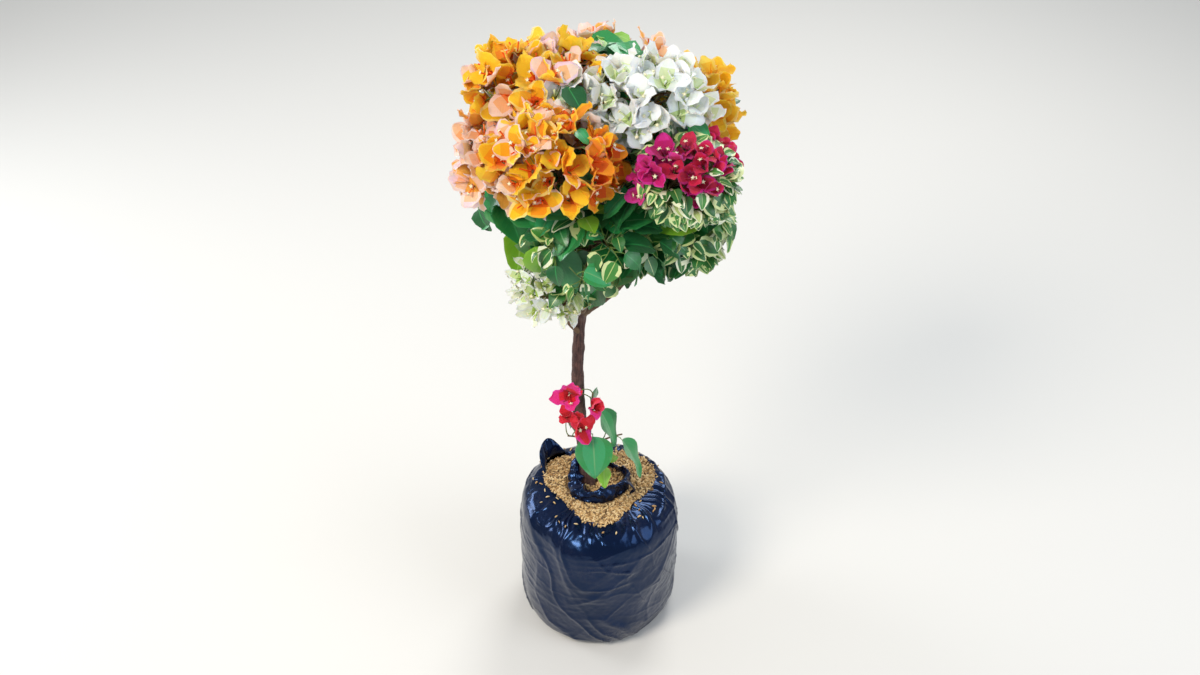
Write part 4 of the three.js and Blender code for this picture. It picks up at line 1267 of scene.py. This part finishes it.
# Leaves stand out sideways by the golden angle, lean outwards with the mass, and hang a little:
# side = unit((cos r, sin r, -0.25) + 0.55 tangent), with r = golden angle n + seed. One that would
# reach outside the crown is shorter, and one whose outline comes near a limb, trio or flower, or
# leaves the solids' box, isn't made.
def leavesOf(g):
    habit, curves, steps = g["habit"], g["fine"], twig["steps"] - 1
    tangents = unit(np.gradient(curves, axis=1))
    used = np.flatnonzero(g["bears"] | (chance.uniform(0, 1, len(curves)) < habit["spare"]))
    feet, sides, aims = [], [], []
    for n, share in enumerate(habit["leafAt"]):
        node = int(share * steps)
        part = share * steps - node
        feet.append(curves[used, node] * (1 - part) + curves[used, node + 1] * part)
        turn = goldenAngle * (used * len(habit["leafAt"]) + n) + g["seed"]
        sides.append(unit(polar(1, turn, -0.25) + 0.55 * tangents[used, node]))
        aims.append(g["aims"][used])
    feet, sides, aims = (np.concatenate(a) for a in (feet, sides, aims))
    count = len(feet)
    owners = np.tile(used, len(habit["leafAt"]))
    small = chance.uniform(0, 1, count) < variegated.get(g["name"], 0)
    lengths = chance.uniform(*habit["leafLength"], count)
    lengths = np.where(small, chance.uniform(*habit.get("smallLeaf", (20, 38)), count), lengths)
    short, long = (chance.uniform(*petiole[key], count) for key in ("short", "long"))
    outs = unit(sides + 0.5 * aims)
    ends = feet + unit(outs + 0.3 * upwards) * np.where(small, short, long)[:, None]
    outs = unit(outs - upwards * chance.uniform(0, 0.6, (count, 1)))
    ups = unit(upwards + 0.6 * aims + chance.normal(0, 0.22, (count, 3)))
    for shorter in (0.85, 0.8):
        lengths = np.where(crownPlace(ends + outs * lengths[:, None]) > 1.0, lengths * shorter, lengths)
    along = np.array([0, 0.35, 0.35, 0.35, 0.7, 0.7, 0.7, 1])
    aside = np.array([0, -1, 0, 1, -0.7, 0, 0.7, 0])
    halves = unit(np.cross(outs, ups)) * lengths[:, None] * 0.35
    outline = ends[:, None] + outs[:, None] * (lengths[:, None] * along)[..., None]
    outline = outline + halves[:, None] * aside[:, None]
    clear = np.all((outline > crownBox[0] - 5) & (outline < crownBox[1] + 5), axis=(1, 2))
    clear = clear & (limbGap(outline).min(axis=1) > petiole["limbGap"])
    for points, room in ((placed, "trioGap"), (flowerEnds, "flowerGap")):
        clear = clear & (outlineGap(outline, points) > np.where(small, *petiole[room]))
    kept = np.flatnonzero((crownPlace(outline[:, -1]) < 1.03) & clear)
    kept = kept[thinned(outline[kept, 2], habit["leafGap"])]
    g["bears"][owners[kept]] = True
    return [a[kept] for a in (feet, ends, outs, ups, lengths, small)]


# the red shoot's leaves from foot to tip, each on a twig of its own and turned about its midrib:
# up = cos(turn) up + sin(turn) level
def redLeaves(g):
    feet, tips, turns = (np.array(shootColumns[k], float) for k in range(3))
    twigs = forkTo(g["main"], feet)
    g["fine"] = np.concatenate([g["fine"], twigs])
    g["bears"] = np.append(g["bears"], np.ones(len(twigs), bool))
    outs = unit(tips - feet)
    ups = unit(unit((feet - trunk["foot"]) * [1, 1, 0]) + 0.9 * upwards)
    level = unit(np.cross(outs, ups))
    ups = turned(np.cross(level, outs), level, np.radians(turns)[:, None])
    return [feet, feet + outs * 4, outs, ups, size(tips - feet), np.zeros(len(feet), bool)]


# the colour of every face of every leaf: its row's colour for the zone, the margin a little broken
def leafSlots(kind, style, count, rows):
    u, v = facePlaces(style).T
    back = np.arange(len(u)) >= len(u) // 2
    margin = (np.abs(v) > 0.7) | (u > 0.9)
    zone = np.broadcast_to(np.where(back, 2, np.where(np.abs(v) < 0.1, 3, margin)), (count, len(u)))
    if kind == "variegated":
        strayed = chance.uniform(0, 1, zone.shape) < 0.08
        zone = np.where(strayed & (zone < 2), 1 - zone, zone)
    table = rowsOf(leafHues[kind])
    if rows is None:
        rows = chance.choice(len(table), count, p=leafHues[kind]["deal"])
    return np.take_along_axis(table[rows], zone, axis=1)


# leaves of one kind, with rows of colours and curls dealt by chance unless they are given
def leafBlades(kind, style, ends, outs, ups, lengths, rows=None, curls=None):
    count = len(ends)
    phases = chance.uniform(0, 2 * np.pi, count)
    slots = leafSlots(kind, style, count, rows)
    if curls is None:
        curls = curlsOf(style, count)
    return blades(style, ends, outs, ups, lengths, slots, curls, phases)


leafy = [redLeaves(g) if g["name"] == "red_sprig" else leavesOf(g) for g in grown]
feet, ends, outs, ups, lengths, small = (np.concatenate(a) for a in zip(*leafy))
print(f"{len(feet)} leaves, {int(small.sum())} of them variegated")
shoot = np.arange(len(feet)) >= len(feet) - len(redShoot["leaves"])
for kind, chosen in {"green": ~small & ~shoot, "variegated": small}.items():
    hue, nodes, slotName = leafHues[kind], [], "cream_leaves"
    parts = [leafBlades(kind, leaf, *(a[chosen] for a in (ends, outs, ups, lengths)))]
    if kind == "green":
        nodes, slotName = [name for name in masses if name.startswith("green")], "green_leaves"
        given = map(np.array, shootColumns[3:])
        parts.append(leafBlades(kind, shootLeaf, *(a[shoot] for a in (ends, outs, ups, lengths)), *given))
    materials = [bladeMaterial(f"{kind} leaf {n + 1}", c, waxy) for n, c in enumerate(hue["colours"])]
    addPiece(kind + "Leaves", parts, materials, nodes)

thorn = {"length": (8, 13), "radius": (1.1, 0.12), "shares": (0.3, 0.47, 0.64, 0.82)}


# radius falls evenly from the first number to the second
def tapered(curves, pair, sides, slot):
    return tubes(curves, np.linspace(*pair, curves.shape[1]), sides, slot)


# A thorn stands out and a little up from a bough, at some of its rings, and curves back at its tip:
# bend = foot + 0.6 length (out + 0.25 up), tip = foot + length (out - 0.15 up)
def thornCurves(curves, shares):
    feet = np.concatenate([pointsAt(curve, shares) for curve in curves])
    outs = unit(polar(1, goldenAngle * np.arange(len(feet)), 0.3))
    lengths = chance.uniform(*thorn["length"], (len(feet), 1))
    bends = feet + 0.6 * lengths * (outs + 0.25 * upwards)
    return bezier([feet, bends, feet + lengths * (outs - 0.15 * upwards)], 4)


thorns = thornCurves(boughCurves, np.array(thorn["shares"]))
# a stem that leaves the trunk has a collar too, which fades by e^-(share / 0.09)^2
stemShare = np.linspace(0, 1, twig["stemSteps"])
collars = [[twig["collar"] * isinstance(limb, int)] for limb, *space in masses.values()]
swelling = np.array(collars) * np.exp(-((stemShare / 0.09) ** 2))
stemRadii = np.linspace(*twig["stem"], twig["stemSteps"]) + swelling
stalkBends = ends - unit(outs + 0.3 * upwards) * size(ends - feet)[:, None] * 0.45
stalks = bezier([feet, stalkBends, ends + outs], 4)
twigParts = [
    tubes(np.stack([g["stem"] for g in grown]), stemRadii, 10, 0),
    tapered(np.concatenate([g["main"] for g in grown]), twig["main"], 7, 0),
    tapered(np.concatenate([g["fine"][g["bears"]] for g in grown]), twig["fine"], 5, 1),
    tapered(stalks, twig["petiole"], 4, 2),
    tapered(thorns, thorn["radius"], 6, 3),
]
twigKinds = [
    ("woody bougainvillea twig", 0x6A5138, 0.75, 1.46), ("green bougainvillea twig", 0x5E7434, 0.6, 1.46),
    ("leaf stalk", 0x6F9440, 0.55, 1.46), ("bougainvillea thorn", 0x7A5A3C, 0.5, 1.5),
]
addPiece("twigs", twigParts, [newMaterial(*kind)[0] for kind in twigKinds], [])
